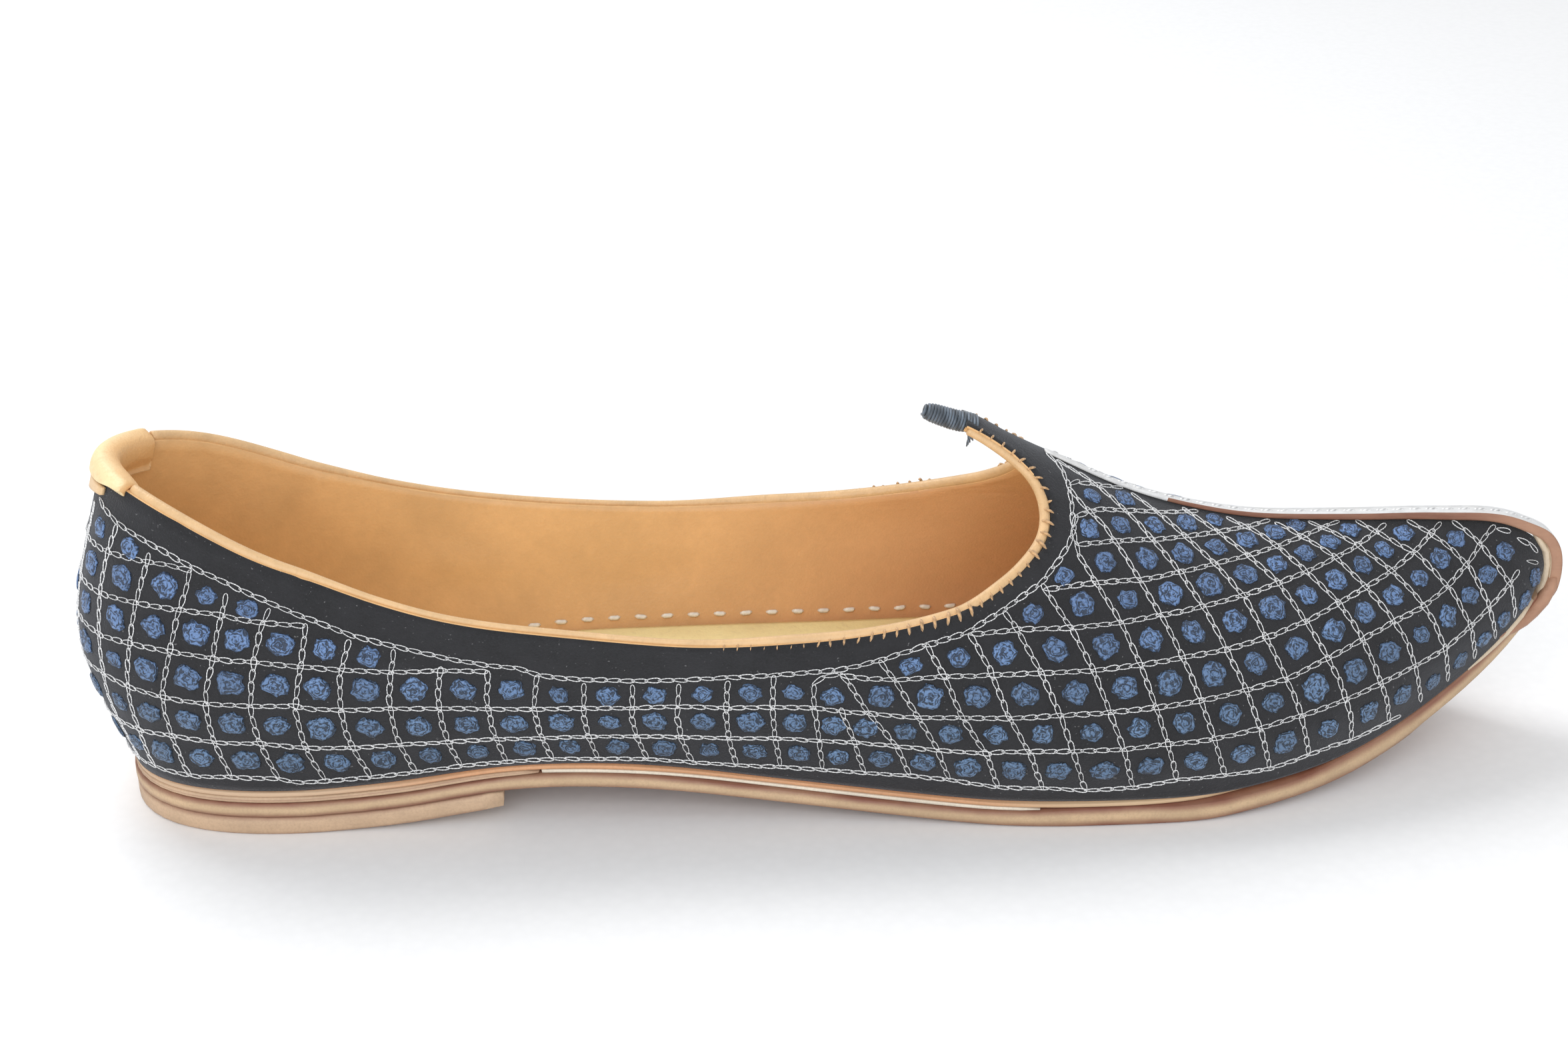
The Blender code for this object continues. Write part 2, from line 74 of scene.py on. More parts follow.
# The midsole draws in under the toe, and its ends take other layers' colours
MIDSOLE_TUCK, MIDSOLE_TUCKED = 0.06, (200.0, 230.0)
MIDSOLE_ENDS = ((166.0, 194.0, "outsole"), (78.0, 44.0, "lift"))
# Padding under the arch, which lifts the insole's top between these places
INSOLE_LIFT, INSOLE_ARCH = 2.1, (65.0, 140.0, 175.0, 210.0)
# How far up a face of the insole's top looks
INSOLE_TOP = 0.3
# The insole's stitches: where they run, how far out and from what height the insole is read, and their height
INSOLE_SEWN, INSOLE_SIDE, INSOLE_ABOVE, INSOLE_STITCH_HEIGHT = (24.0, 206.0), 12.0, 60.0, 1.5

# Which faces of the upper lie flat, and which of the others face out and in
FLAT_UP, FLAT_DOWN, FACING_OUT, FACING_IN = 0.75, -0.72, 0.22, -0.1
SUEDE_FACE, LINING_FACE, RAW_FACE = 0, 1, 2
# The collar's raw edge: furthest run, half width of the beak ahead of it, lowest height, lift, and how much
# lower it is lifted at the waist
RIM_RUN, BEAK_HALF, RIM_LOW, RIM_LIFT, RIM_LOWER = 122.0, 8.0, 35.0, 1.05, 0.7
WAIST = (38.0, 60.0, 112.0, 140.0)
# The rolled edge: radius, how much fuller it looks, how much it thins and drops at the waist
BEAD_RADIUS, BEAD_SWELL, BEAD_THIN, BEAD_DROP = 0.95, 0.17, 0.42, 0.6
# One whip stitch, across the rolled edge, and how far beyond the edge's middle it is set
WHIP_POINTS = ((-0.25, -1.9, -0.3), (-0.15, -1.35, 0.24), (0.0, -0.75, 0.3), (0.1, -0.2, 0.2),
               (0.2, 0.3, 0.0))
WHIP_RADII = (0.18, 0.31, 0.31, 0.27, 0.11)
WHIP_BEYOND = 1.25
# Whip stitches grow towards the throat, shrink over the last share of the line and sink along the sides
WHIP_SIZE, WHIP_GROWTH, WHIP_GROWS = 0.62, 0.5, (125.0, 172.0)
WHIP_SHRINKAGE, WHIP_SHRINKS = 0.35, (0.6, 1.0)
WHIP_SINK, WHIP_RISES = 0.28, (155.0, 172.0)

# The pad thins towards its ends and its lower edge, and its outer flap rises towards its ends
PAD_THIN_FROM, PAD_THIN_TO, PAD_PRESS = 6.5, 13.0, 0.85
PAD_LOW_FROM, PAD_LOW_TO = 66.5, 62.0
PAD_FLAP_LIFT, PAD_FLAP_TOP, PAD_FLAP_LOW, PAD_FLAP_OUT = 1.6, 70.5, 66.5, 1.2

# The strip: where its cut edge starts to show, its thin start on the ridge and its pressed end under the toe
STRIP_SILVER_END = 212.0
# Its faces, and how far one looks to the side or inwards to be a cut edge or the back
SILVER_FACE, CUT_FACE, BACK_FACE = 0, 1, 2
STRIP_SIDEWAYS, STRIP_INWARDS = 0.6, 0.5
STRIP_START, STRIP_FULL, STRIP_START_PRESS = 188.0, 222.0, 0.3
STRIP_END_LOW, STRIP_END_HIGH, STRIP_END_PRESS = 22.5, 31.0, 0.8
# The strip's stitch line, read from above the shoe
STRIP_SEWN, STRIP_PITCH, ABOVE_SHOE = (196.0, 288.0), 3.3, 120.0
# Where the strip's edge turns paler, in metres along the frame's X
STRIP_FRONT = (0.122, 0.142)
# Straight stitches: half length, half of the flat stretch, height and radius, each at ends and between
STRIP_STITCH = (1.3, 0.7, -0.12, 0.07, 0.1, 0.2)
INSOLE_STITCH = (1.25, 0.65, -0.2, 0.26, 0.22, 0.52)

# How the upper is read: spokes from an axis inside the shoe, at runs along it
RUN_STEP = 1.5
RUNS = np.arange(-HEEL_RUN, 243.0, RUN_STEP)
AXIS_RUNS = (-62.0, 0.0, 60.0, 140.0, 180.0, 203.0, 223.0, 237.0, 243.0)
AXIS_HEIGHTS = (30.0, 27.0, 24.0, 24.0, 25.0, 29.0, 32.0, 35.0, 36.0)
SPOKE_LOW, SPOKE_STEP, SPOKE_REACH = -75.0, 1.5, 0.15

# Silver chain lines as run along the shoe and height up the suede, in mm
ROWS = {
    "sole": ((-62.0, 3.2), (-47.7, 3.1), (-41.3, 3.0), (-32.7, 2.9), (-23.4, 3.5), (-14.9, 3.4),
             (-10.6, 3.3), (-4.9, 2.3), (2.3, 2.1), (10.9, 2.0), (20.1, 1.9), (27.3, 1.8), (36.6, 1.5),
             (45.9, 1.6), (54.4, 1.5), (63.7, 1.9), (72.3, 2.0), (80.9, 2.6), (89.4, 3.5), (97.3, 4.0),
             (105.5, 4.4), (113.7, 4.9), (121.2, 4.8), (130.5, 3.8), (140.1, 3.9), (147.3, 3.1),
             (156.6, 3.6), (165.1, 5.2), (170.9, 4.9), (174.4, 4.7), (183.7, 3.6), (192.3, 4.2),
             (197.3, 4.2), (201.2, 3.4), (206.6, 3.1), (212.0, 2.4)),
    "first": ((-62.0, 12.2), (-47.7, 12.3), (-40.6, 12.0), (-33.4, 12.5), (-24.1, 11.9), (-13.4, 12.0),
              (-7.7, 11.4), (-0.6, 10.7), (8.0, 9.9), (16.9, 9.7), (25.9, 8.8), (34.8, 8.2), (40.9, 7.8),
              (43.7, 7.7), (53.0, 8.0), (61.6, 8.4), (70.1, 9.0), (79.4, 10.0), (88.0, 11.3), (96.2, 11.9),
              (103.4, 12.5), (110.9, 12.5), (118.4, 12.4), (127.3, 12.5), (130.9, 13.2), (137.3, 13.5),
              (143.7, 13.3), (153.7, 13.2), (161.6, 13.8), (170.9, 13.8), (180.1, 13.9), (189.4, 14.1),
              (198.7, 14.2), (206.9, 13.9), (213.7, 13.0), (220.9, 11.7), (227.3, 11.8), (233.0, 12.0),
              (238.0, 12.3)),
    "second": ((-62.0, 23.6), (-47.7, 23.1), (-41.3, 22.1), (-33.8, 21.5), (-24.5, 20.8), (-14.1, 20.6),
               (-2.7, 20.5), (0.1, 19.9), (6.9, 19.0), (15.9, 18.6), (24.8, 17.4), (33.7, 16.1),
               (42.6, 15.3), (51.9, 15.5), (60.9, 15.9), (69.4, 16.9), (78.7, 17.6), (87.3, 19.0),
               (95.5, 19.6), (100.9, 19.6), (105.1, 19.8), (113.7, 19.6), (122.6, 20.1), (131.6, 20.3),
               (140.5, 20.6), (149.4, 20.6), (159.4, 21.0), (169.4, 21.6), (178.0, 21.9), (186.6, 22.0),
               (195.1, 23.6), (203.0, 24.4), (209.1, 24.4), (215.9, 23.4), (221.6, 23.4), (227.3, 24.4),
               (230.9, 25.9), (233.4, 26.1)),
    "third_quarter": ((-62.0, 32.2), (-53.4, 31.9), (-47.0, 31.1), (-40.6, 31.3), (-31.6, 31.1),
                      (-22.0, 30.1), (-12.7, 29.8), (0.1, 28.6), (7.3, 27.6), (16.6, 26.4), (25.5, 25.8),
                      (34.1, 24.6)),
    "third_vamp": ((100.1, 27.4), (105.1, 27.3), (110.5, 27.5), (119.4, 28.6), (128.7, 28.8), (138.0, 28.9),
                   (147.6, 28.8), (157.3, 29.3), (166.6, 30.2), (175.1, 30.4), (183.7, 30.9), (192.3, 32.0),
                   (198.0, 33.2), (204.4, 33.9), (210.9, 34.2), (216.2, 34.9), (222.3, 36.4)),
    "fourth_quarter": ((-62.0, 40.2), (-49.9, 39.4), (-39.9, 39.6), (-30.6, 39.5), (-21.3, 38.9),
                       (-10.6, 37.6), (0.9, 36.8)),
    "fourth_vamp": ((124.4, 36.6), (130.9, 37.0), (134.4, 37.3), (144.4, 37.1), (153.7, 37.5),
                    (162.3, 38.6), (171.6, 39.6), (180.9, 40.4), (187.3, 41.1), (193.7, 41.9),
                    (199.4, 42.6), (204.1, 43.1), (210.9, 44.4)),
    "fifth_quarter": ((-62.0, 48.4), (-49.9, 47.9), (-38.4, 48.0), (-33.4, 47.9), (-28.4, 47.3)),
    "fifth_vamp": ((139.4, 44.6), (149.4, 45.4), (158.7, 45.8), (166.6, 47.1), (175.1, 48.1), (180.9, 48.4),
                   (188.0, 49.1), (193.7, 49.9), (198.0, 50.5), (201.6, 50.9)),
    "sixth_vamp": ((146.6, 53.1), (155.1, 53.9), (163.0, 54.5), (170.9, 55.1), (178.0, 55.3), (183.7, 55.6),
                   (187.6, 56.3)),
    "seventh_vamp": ((145.9, 56.9), (146.9, 58.9), (149.1, 60.0), (152.3, 60.9), (158.7, 61.0),
                     (163.7, 61.2), (169.4, 61.5), (175.1, 62.0)),
    "eighth_vamp": ((146.6, 66.2), (147.6, 66.9), (152.3, 67.2), (158.0, 67.5)),
}
COLLAR_LINE = ((-62.0, 60.0), (-52.7, 55.9), (-48.4, 54.4), (-43.4, 52.9), (-35.6, 50.6), (-27.7, 47.8),
               (-19.1, 45.1), (-9.1, 41.9), (0.9, 38.6), (9.4, 34.6), (18.7, 31.4), (28.0, 27.9),
               (34.4, 25.9), (40.1, 24.8), (43.7, 23.1), (48.0, 22.3), (52.3, 22.0), (60.9, 22.0),
               (69.4, 22.9), (78.7, 24.6), (87.3, 26.1), (99.4, 28.4), (107.3, 31.1), (115.9, 34.4),
               (123.7, 36.9), (130.9, 40.9), (138.7, 45.9), (142.3, 49.9), (144.8, 53.4), (145.9, 55.9),
               (146.2, 60.9), (146.2, 65.9), (145.1, 70.9), (143.0, 74.4))
# Lines that cross the rows, heel to toe, each from the sole up
CROSSLINES = (
    ((-57.3, 3.2), (-57.4, 12.0), (-57.4, 24.0), (-57.3, 34.0), (-57.2, 44.0), (-57.0, 55.0)),
    ((-46.4, 3.1), (-47.0, 7.9), (-47.4, 12.9), (-47.4, 16.9), (-47.0, 24.9), (-47.7, 31.9), (-48.6, 40.9),
     (-48.4, 48.4), (-47.4, 53.4)),
    ((-41.6, 3.1), (-42.0, 5.9), (-41.6, 11.9), (-41.4, 18.4), (-41.1, 23.4), (-40.4, 30.9), (-40.0, 38.4),
     (-39.3, 43.4), (-38.4, 49.4)),
    ((-32.6, 2.9), (-33.4, 4.9), (-34.0, 11.9), (-33.9, 17.9), (-33.4, 23.9), (-32.0, 30.9), (-30.6, 38.9),
     (-29.3, 42.9), (-28.6, 47.1)),
    ((-22.6, 3.5), (-23.6, 6.9), (-24.7, 12.4), (-24.9, 18.9), (-24.3, 23.9), (-22.9, 29.4), (-22.1, 33.9),
     (-20.6, 38.9), (-19.3, 42.9)),
    ((-10.2, 3.4), (-12.0, 7.9), (-13.7, 13.4), (-14.3, 19.9), (-13.4, 25.9), (-12.0, 31.9), (-9.9, 37.4),
     (-7.9, 40.1)),
    ((2.3, 2.5), (0.0, 7.9), (-1.6, 12.9), (-2.6, 19.4), (-1.6, 24.4), (-0.2, 28.9), (0.7, 33.4),
     (1.4, 36.9)),
    ((10.9, 2.1), (8.4, 8.9), (7.1, 13.9), (6.6, 19.4), (6.9, 25.9), (8.0, 29.9), (9.1, 33.4)),
    ((19.4, 2.0), (17.3, 8.4), (16.2, 13.4), (15.7, 20.9), (16.4, 26.4), (17.3, 30.9)),
    ((28.1, 1.9), (26.4, 7.4), (25.3, 12.9), (24.8, 19.9), (25.7, 26.4)),
    ((36.8, 1.5), (35.5, 6.9), (34.6, 10.9), (33.9, 17.9), (34.4, 24.6)),
    ((45.5, 1.8), (43.4, 9.4), (42.6, 15.9), (43.4, 22.9)),
    ((54.3, 1.6), (52.6, 7.9), (51.9, 13.4), (52.1, 20.9)),
    ((63.7, 2.0), (61.8, 7.9), (60.9, 13.4), (61.2, 20.9)),
    ((72.3, 2.1), (70.3, 7.9), (69.4, 14.4), (69.8, 21.9)),
    ((80.7, 2.6), (79.1, 9.9), (78.6, 15.9), (78.9, 23.6)),
    ((89.1, 3.6), (87.8, 11.9), (87.3, 18.9), (87.5, 25.9)),
    ((97.1, 4.0), (96.2, 11.9), (95.4, 17.9), (95.0, 21.9), (95.1, 24.6), (96.2, 26.4), (99.4, 27.6)),
    ((105.1, 4.4), (102.6, 13.4), (100.1, 20.1)),
    ((113.7, 5.0), (110.9, 12.4), (105.1, 20.1), (101.6, 25.9), (100.1, 27.6)),
    ((121.2, 4.9), (118.4, 12.9), (113.7, 21.4), (110.1, 27.4), (107.3, 30.9)),
    ((130.5, 3.9), (128.0, 11.9), (123.0, 20.1), (119.4, 28.6), (116.2, 34.4)),
    ((139.1, 3.6), (136.2, 12.4), (131.6, 20.9), (128.0, 30.1), (124.4, 36.6)),
    ((147.3, 3.1), (144.4, 12.4), (141.6, 20.4), (138.0, 28.9), (133.7, 37.1), (131.2, 40.6)),
    ((156.4, 3.6), (154.1, 12.4), (151.2, 20.4), (148.0, 28.9), (144.4, 36.4), (138.9, 45.4)),
    ((164.8, 5.2), (162.6, 12.9), (160.1, 20.9), (157.3, 29.4), (153.7, 37.9), (150.5, 43.4), (146.6, 50.9),
     (145.9, 55.9)),
    ((174.4, 4.7), (171.9, 12.4), (169.1, 20.9), (166.6, 27.9), (163.0, 36.4), (159.4, 43.9), (155.9, 50.9),
     (152.3, 57.4), (148.4, 61.9), (146.2, 65.2)),
    ((183.7, 3.6), (180.9, 13.4), (178.0, 21.9), (175.1, 28.9), (170.9, 38.9), (167.3, 46.4), (163.7, 52.4),
     (159.4, 58.6), (155.1, 63.9), (150.5, 68.9), (146.6, 71.4), (143.0, 74.4)),
    ((191.9, 4.2), (188.7, 15.9), (185.1, 24.9), (182.3, 31.9), (179.4, 39.9), (174.4, 47.9), (170.1, 53.9),
     (165.9, 59.4), (162.3, 63.4), (159.4, 66.4), (156.6, 69.4)),
    ((201.2, 3.5), (200.1, 9.9), (197.3, 18.4), (193.7, 26.4), (190.1, 33.9), (186.6, 41.4), (180.9, 49.4),
     (176.6, 54.9), (171.6, 60.9), (168.4, 64.7)),
    ((209.6, 2.9), (208.0, 9.4), (205.1, 17.4), (202.3, 24.9), (198.0, 33.9), (193.0, 41.4), (188.7, 47.9),
     (185.1, 52.9), (180.9, 56.9), (176.2, 62.4)),
    ((216.9, 2.1), (214.4, 11.4), (212.3, 18.4), (208.7, 25.9), (204.4, 33.9), (199.4, 42.4), (195.9, 46.9),
     (190.9, 52.9), (186.9, 57.1)),
    ((223.0, 2.1), (220.9, 11.4), (218.0, 19.4), (214.4, 26.9), (210.1, 34.4), (203.7, 43.9), (198.7, 49.9),
     (195.9, 53.1)),
    ((229.1, 2.1), (226.6, 11.9), (223.0, 20.9), (219.4, 27.9), (215.9, 34.4), (212.3, 38.9), (208.0, 44.9),
     (205.5, 48.9)),
    ((233.7, 2.4), (230.9, 12.4), (227.3, 22.4), (223.7, 29.4), (219.4, 36.4), (215.9, 41.9)),
    ((238.0, 2.6), (236.2, 11.4), (232.3, 20.4), (228.7, 27.9), (225.1, 34.4)),
)
# Short ends of chain at the tip of the toe
TOE_BITS = (((234.0, 25.2), (236.8, 21.5)), ((238.4, 18.5), (241.5, 13.5), (242.8, 10.6)), ((240.6, 11.4),
            (242.7, 8.4)))
# The crossline that stops short, and the height where it does
SPLIT_LINE, SPLIT_HEIGHT, SPLIT_TOP = 18, 20.0, 32.0
# Where the collar's chain turns up the throat, its number of points up to there, and the room beside it
THROAT_START, COLLAR_BACK, COLLAR_ROOM, THROAT_ROOM, QUARTER_TOP = 99.0, 22, 1.0, 1.2, 45.0
# Cells are looked for in small steps up to a height; the smallest cell, and a row's reach past its ends
CELL_STEP, CELL_LOW, CELL_TOP, CELL_LEAST = 0.25, 1.0, 76.0, 3.4
ROW_BEFORE, ROW_AFTER = 1.0, 3.0
# Cells that no rule finds, as run, height and room
TOE_CELLS = [(235.3, 19.2, 5.6), (240.1, 3.8, 5.4), (242.6, 5.8, 5.0)]
WAIST_CELLS = [(98.5, 22.5, 6.9), (100.0, 8.0, 6.9)]
BACK_CELLS = [(-HEEL_RUN, height, 8.4) for height in (7.6, 18.0, 28.0, 36.2)]
TOE_SOLE_HEIGHT = -1.5
# Rosettes: smallest radius, share of a cell's room, turns of the coil, and rings as share of radius and rise
ROSETTE_LEAST, ROSETTE_SHARE, COIL_TURNS = 2.2, 0.32, 3.2
COIL_SHAPES, COIL_POINTS = 7, 16
COIL_RINGS = ((0.86, 0.13), (0.5, 0.07), (0.16, -0.03))
# How near the pad, the tab or the strip a chain link or a rosette may come
LINK_ROOM, ROSETTE_ROOM = 0.7, 1.2
LINK_POINTS = 12

# Edge of the collar and throat from the waist up to the beak, and the winding of the beak as x, height,
# half width and half thickness
THROAT_LINE = ((122.0, 31.45, 40.45), (135.0, 31.7, 40.3), (150.0, 31.5, 41.2), (160.0, 30.6, 42.5),
               (168.0, 29.4, 44.2), (171.2, 28.2, 45.2), (174.3, 26.6, 46.4), (177.5, 24.7, 47.8),
               (180.5, 22.7, 49.5), (183.3, 20.6, 51.5), (185.5, 18.4, 53.7), (186.9, 15.7, 56.2),
               (187.3, 12.5, 58.8), (186.5, 9.2, 61.4), (184.6, 6.5, 63.8), (181.9, 4.9, 66.0),
               (178.9, 4.0, 68.2), (175.8, 3.5, 70.3), (173.6, 3.2, 71.5))
WRAP_LINE = ((174.0, 70.5, 3.1, 1.5), (172.5, 71.1, 2.6, 1.6), (170.9, 71.4, 2.05, 1.8),
             (169.2, 71.9, 1.85, 1.8), (167.2, 72.65, 1.75, 1.75), (165.6, 73.25, 1.65, 1.65),
             (164.3, 73.7, 1.35, 1.35), (163.7, 73.9, 0.8, 0.8))
WRAP_SINK, WRAP_SEGMENTS = 0.45, 14
# The winding's loose ends: where they start, and how far aside and down each hangs
TAIL_X, TAIL_Z = 172.0, 70.3
TAILS = ((-2.9, 2.9), (-3.1, 2.5), (-2.7, 2.2), (-2.9, 1.7))
TAIL_RADII = (0.26, 0.26, 0.26, 0.26, 0.12)

# Backing between the suede's nose and the strip, as x, height and radius
BACKING_LINE = ((287.4, 43.2, 0.5), (288.6, 41.6, 0.75), (290.2, 39.2, 0.85), (290.75, 36.2, 0.85),
                (290.65, 32.9, 0.85), (290.0, 29.8, 0.85), (289.0, 27.2, 0.75), (287.4, 24.8, 0.5))
BACKING_WIDTH = 2.0
# The strip's end, tucked under the suede on each side of the toe: run along the shoe and radius
TUCK_LINE = ((228.0, 0.2), (231.0, 0.4), (234.0, 0.5), (237.0, 0.6), (240.0, 0.7), (242.5, 0.75))

# The strip's frayed lower end, which runs out along the sole's tip, as x, half width, height and radius
WING_LINE = ((292.2, 1.3, 33.5, 0.9), (291.7, 1.6, 31.2, 1.35), (290.3, 2.1, 28.7, 1.5),
             (288.2, 3.0, 26.7, 1.45), (286.0, 4.3, 25.4, 1.3), (283.4, 5.9, 24.6, 1.05),
             (280.8, 7.5, 24.1, 0.6), (279.0, 8.5, 23.7, 0.25))

# Soft creases of the suede, as x, height, side, half length, lean in degrees, depth and half width
CREASES = (
    (28.0, 44.0, -1, 13.0, 74.0, 0.5, 3.2), (20.0, 30.0, -1, 11.0, 12.0, -0.35, 4.5),
    (66.0, 33.0, -1, 17.0, -14.0, 0.35, 3.6), (104.0, 27.0, -1, 20.0, 4.0, -0.3, 4.0),
    (140.0, 29.0, -1, 14.0, 60.0, 0.3, 3.4), (32.0, 42.0, 1, 14.0, 70.0, 0.5, 3.4),
    (72.0, 32.0, 1, 18.0, -10.0, 0.4, 3.8), (112.0, 26.0, 1, 18.0, 6.0, -0.3, 4.0),
    (206.0, 45.0, -1, 15.0, 62.0, 0.35, 3.2), (217.0, 40.0, -1, 13.0, 66.0, -0.3, 3.4),
    (208.0, 45.0, 1, 15.0, 62.0, 0.35, 3.2), (219.0, 40.0, 1, 13.0, 66.0, -0.3, 3.4),
)

# Camera, fitted to the photograph: place in metres, angles, and a focal length in the photograph's pixels
CAMERA_PLACE = (-0.0466, -0.4655, 0.2787)
CAMERA_PITCH, CAMERA_YAW = math.radians(26.0), math.radians(4.5)
CAMERA_SENSOR, FOCAL_PIXELS, IMAGE_WIDTH = 36.0, 4000.0, 2352.0
# Soft light: the world's colour and strength, and each lamp's place and size in metres and its power
WORLD_TINT, WORLD_STRENGTH = (0.97, 0.985, 1.0, 1.0), 0.74
LAMPS = {"key": ((-0.4, 0.45, 0.85), 0.5, 5.5), "fill": ((-0.25, -1.0, 0.5), 1.0, 7.5)}
FLOOR_HALF = 6.0


# Sizes and colours that a user would change

def length(name, description, millimetres):
    """A length setting, given in millimetres."""
    return bpy.props.FloatProperty(name=name, description=description, default=millimetres * MM, min=0.0,
                                   precision=5, unit="LENGTH", subtype="DISTANCE")


def colour(name, description, red, green, blue):
    """A colour setting, in linear light."""
    return bpy.props.FloatVectorProperty(name=name, description=description, default=(red, green, blue),
                                         min=0.0, max=1.0, size=3, subtype="COLOR")


class JuttiSizes(bpy.types.PropertyGroup):
    """Sizes of the stitches and threads."""
    link_pitch: length("Chain pitch", "Distance from one chain link to the next", 2.5)
    link_length: length("Chain link", "Length of one chain link", 3.15)
    link_width: length("Chain width", "Width of one chain link", 1.2)
    silver_thread: length("Silver thread", "Thickness of the silver thread", 0.27)
    rosette: length("Rosette", "Largest radius of a thread rosette", 2.65)
    whip_pitch: length("Whip pitch", "Distance between the stitches round the throat", 2.5)
    insole_pitch: length("Insole pitch", "Distance between the stitches of the insole", 5.5)
    wrap_thread: length("Wrap thread", "Thickness of the thread wound on the beak", 0.6)


class JuttiColours(bpy.types.PropertyGroup):
    """Colours of the leathers and threads."""
    suede: colour("Suede", "Suede of the upper", 0.0105, 0.0105, 0.012)
    lining: colour("Lining", "Leather inside the upper", 0.72, 0.43, 0.19)
    # Painted shade: a darker tan laid into the lining low down inside the shoe and towards the toe
    lining_shade: colour("Painted lining shade", "Darker leather low inside the upper", 0.62, 0.285, 0.15)
    binding: colour("Binding", "Rolled edge of the collar", 0.66, 0.43, 0.22)
    pad: colour("Heel pad", "Pad over the collar at the heel", 0.84, 0.64, 0.36)
    # Pale leather, painted paler still: the colour stands in for light falling on the insole from above
    insole: colour("Insole", "Leather under the foot", 1.0, 0.84, 0.44)
    outsole: colour("Outsole", "Edge of the outsole", 0.55, 0.385, 0.235)
    burnish: colour("Burnish", "Dark lines burnished into the sole's edge", 0.2, 0.072, 0.045)
    tan: colour("Tan strip", "Midsole", 0.61, 0.32, 0.165)
    rand: colour("Rand", "White strip above the outsole", 0.74, 0.66, 0.54)
    lift: colour("Heel lift", "Leather layers of the heel", 0.54, 0.375, 0.245)
    strip: colour("Toe strip", "Silver face of the toe strip", 0.80, 0.80, 0.80)
    strip_edge: colour("Strip edge", "Cut edge of the toe strip", 0.235, 0.1, 0.062)
    strip_front: colour("Strip front", "Cut edge of the toe strip round the tip", 0.42, 0.23, 0.145)
    strip_back: colour("Strip back", "Pale back of the toe strip", 0.60, 0.49, 0.36)
    tab: colour("Heel tab", "Tab under the heel pad", 0.72, 0.5, 0.28)
    silver: colour("Silver thread", "Chain stitches", 0.92, 0.925, 0.935)
    blue: colour("Blue thread", "Rosettes", 0.076, 0.134, 0.262)
    blue_low: colour("Low blue thread", "Rosettes near the sole", 0.066, 0.115, 0.196)
    navy: colour("Navy thread", "Winding of the beak", 0.082, 0.105, 0.135)
    tan_thread: colour("Tan thread", "Stitches round the throat", 0.6, 0.36, 0.17)
    white_thread: colour("White thread", "Stitches of the insole", 0.95, 0.9, 0.8)
    floor: colour("Floor", "Floor under the shoe", 0.86, 0.86, 0.865)


# Finishes

class Wire:
    """A shader socket that takes part in sums."""

    def __init__(self, finish, socket):
        self.finish = finish
        self.socket = socket

    def sum(self, operation, first, second):
        return self.finish.node("ShaderNodeMath", {"operation": operation}, {0: first, 1: second})

    def __add__(self, other):
        return self.sum("ADD", self, other)

    def __sub__(self, other):
        return self.sum("SUBTRACT", self, other)

    def __rsub__(self, other):
        return self.sum("SUBTRACT", other, self)

    def __mul__(self, other):
        return self.sum("MULTIPLY", self, other)

    __rmul__ = __mul__


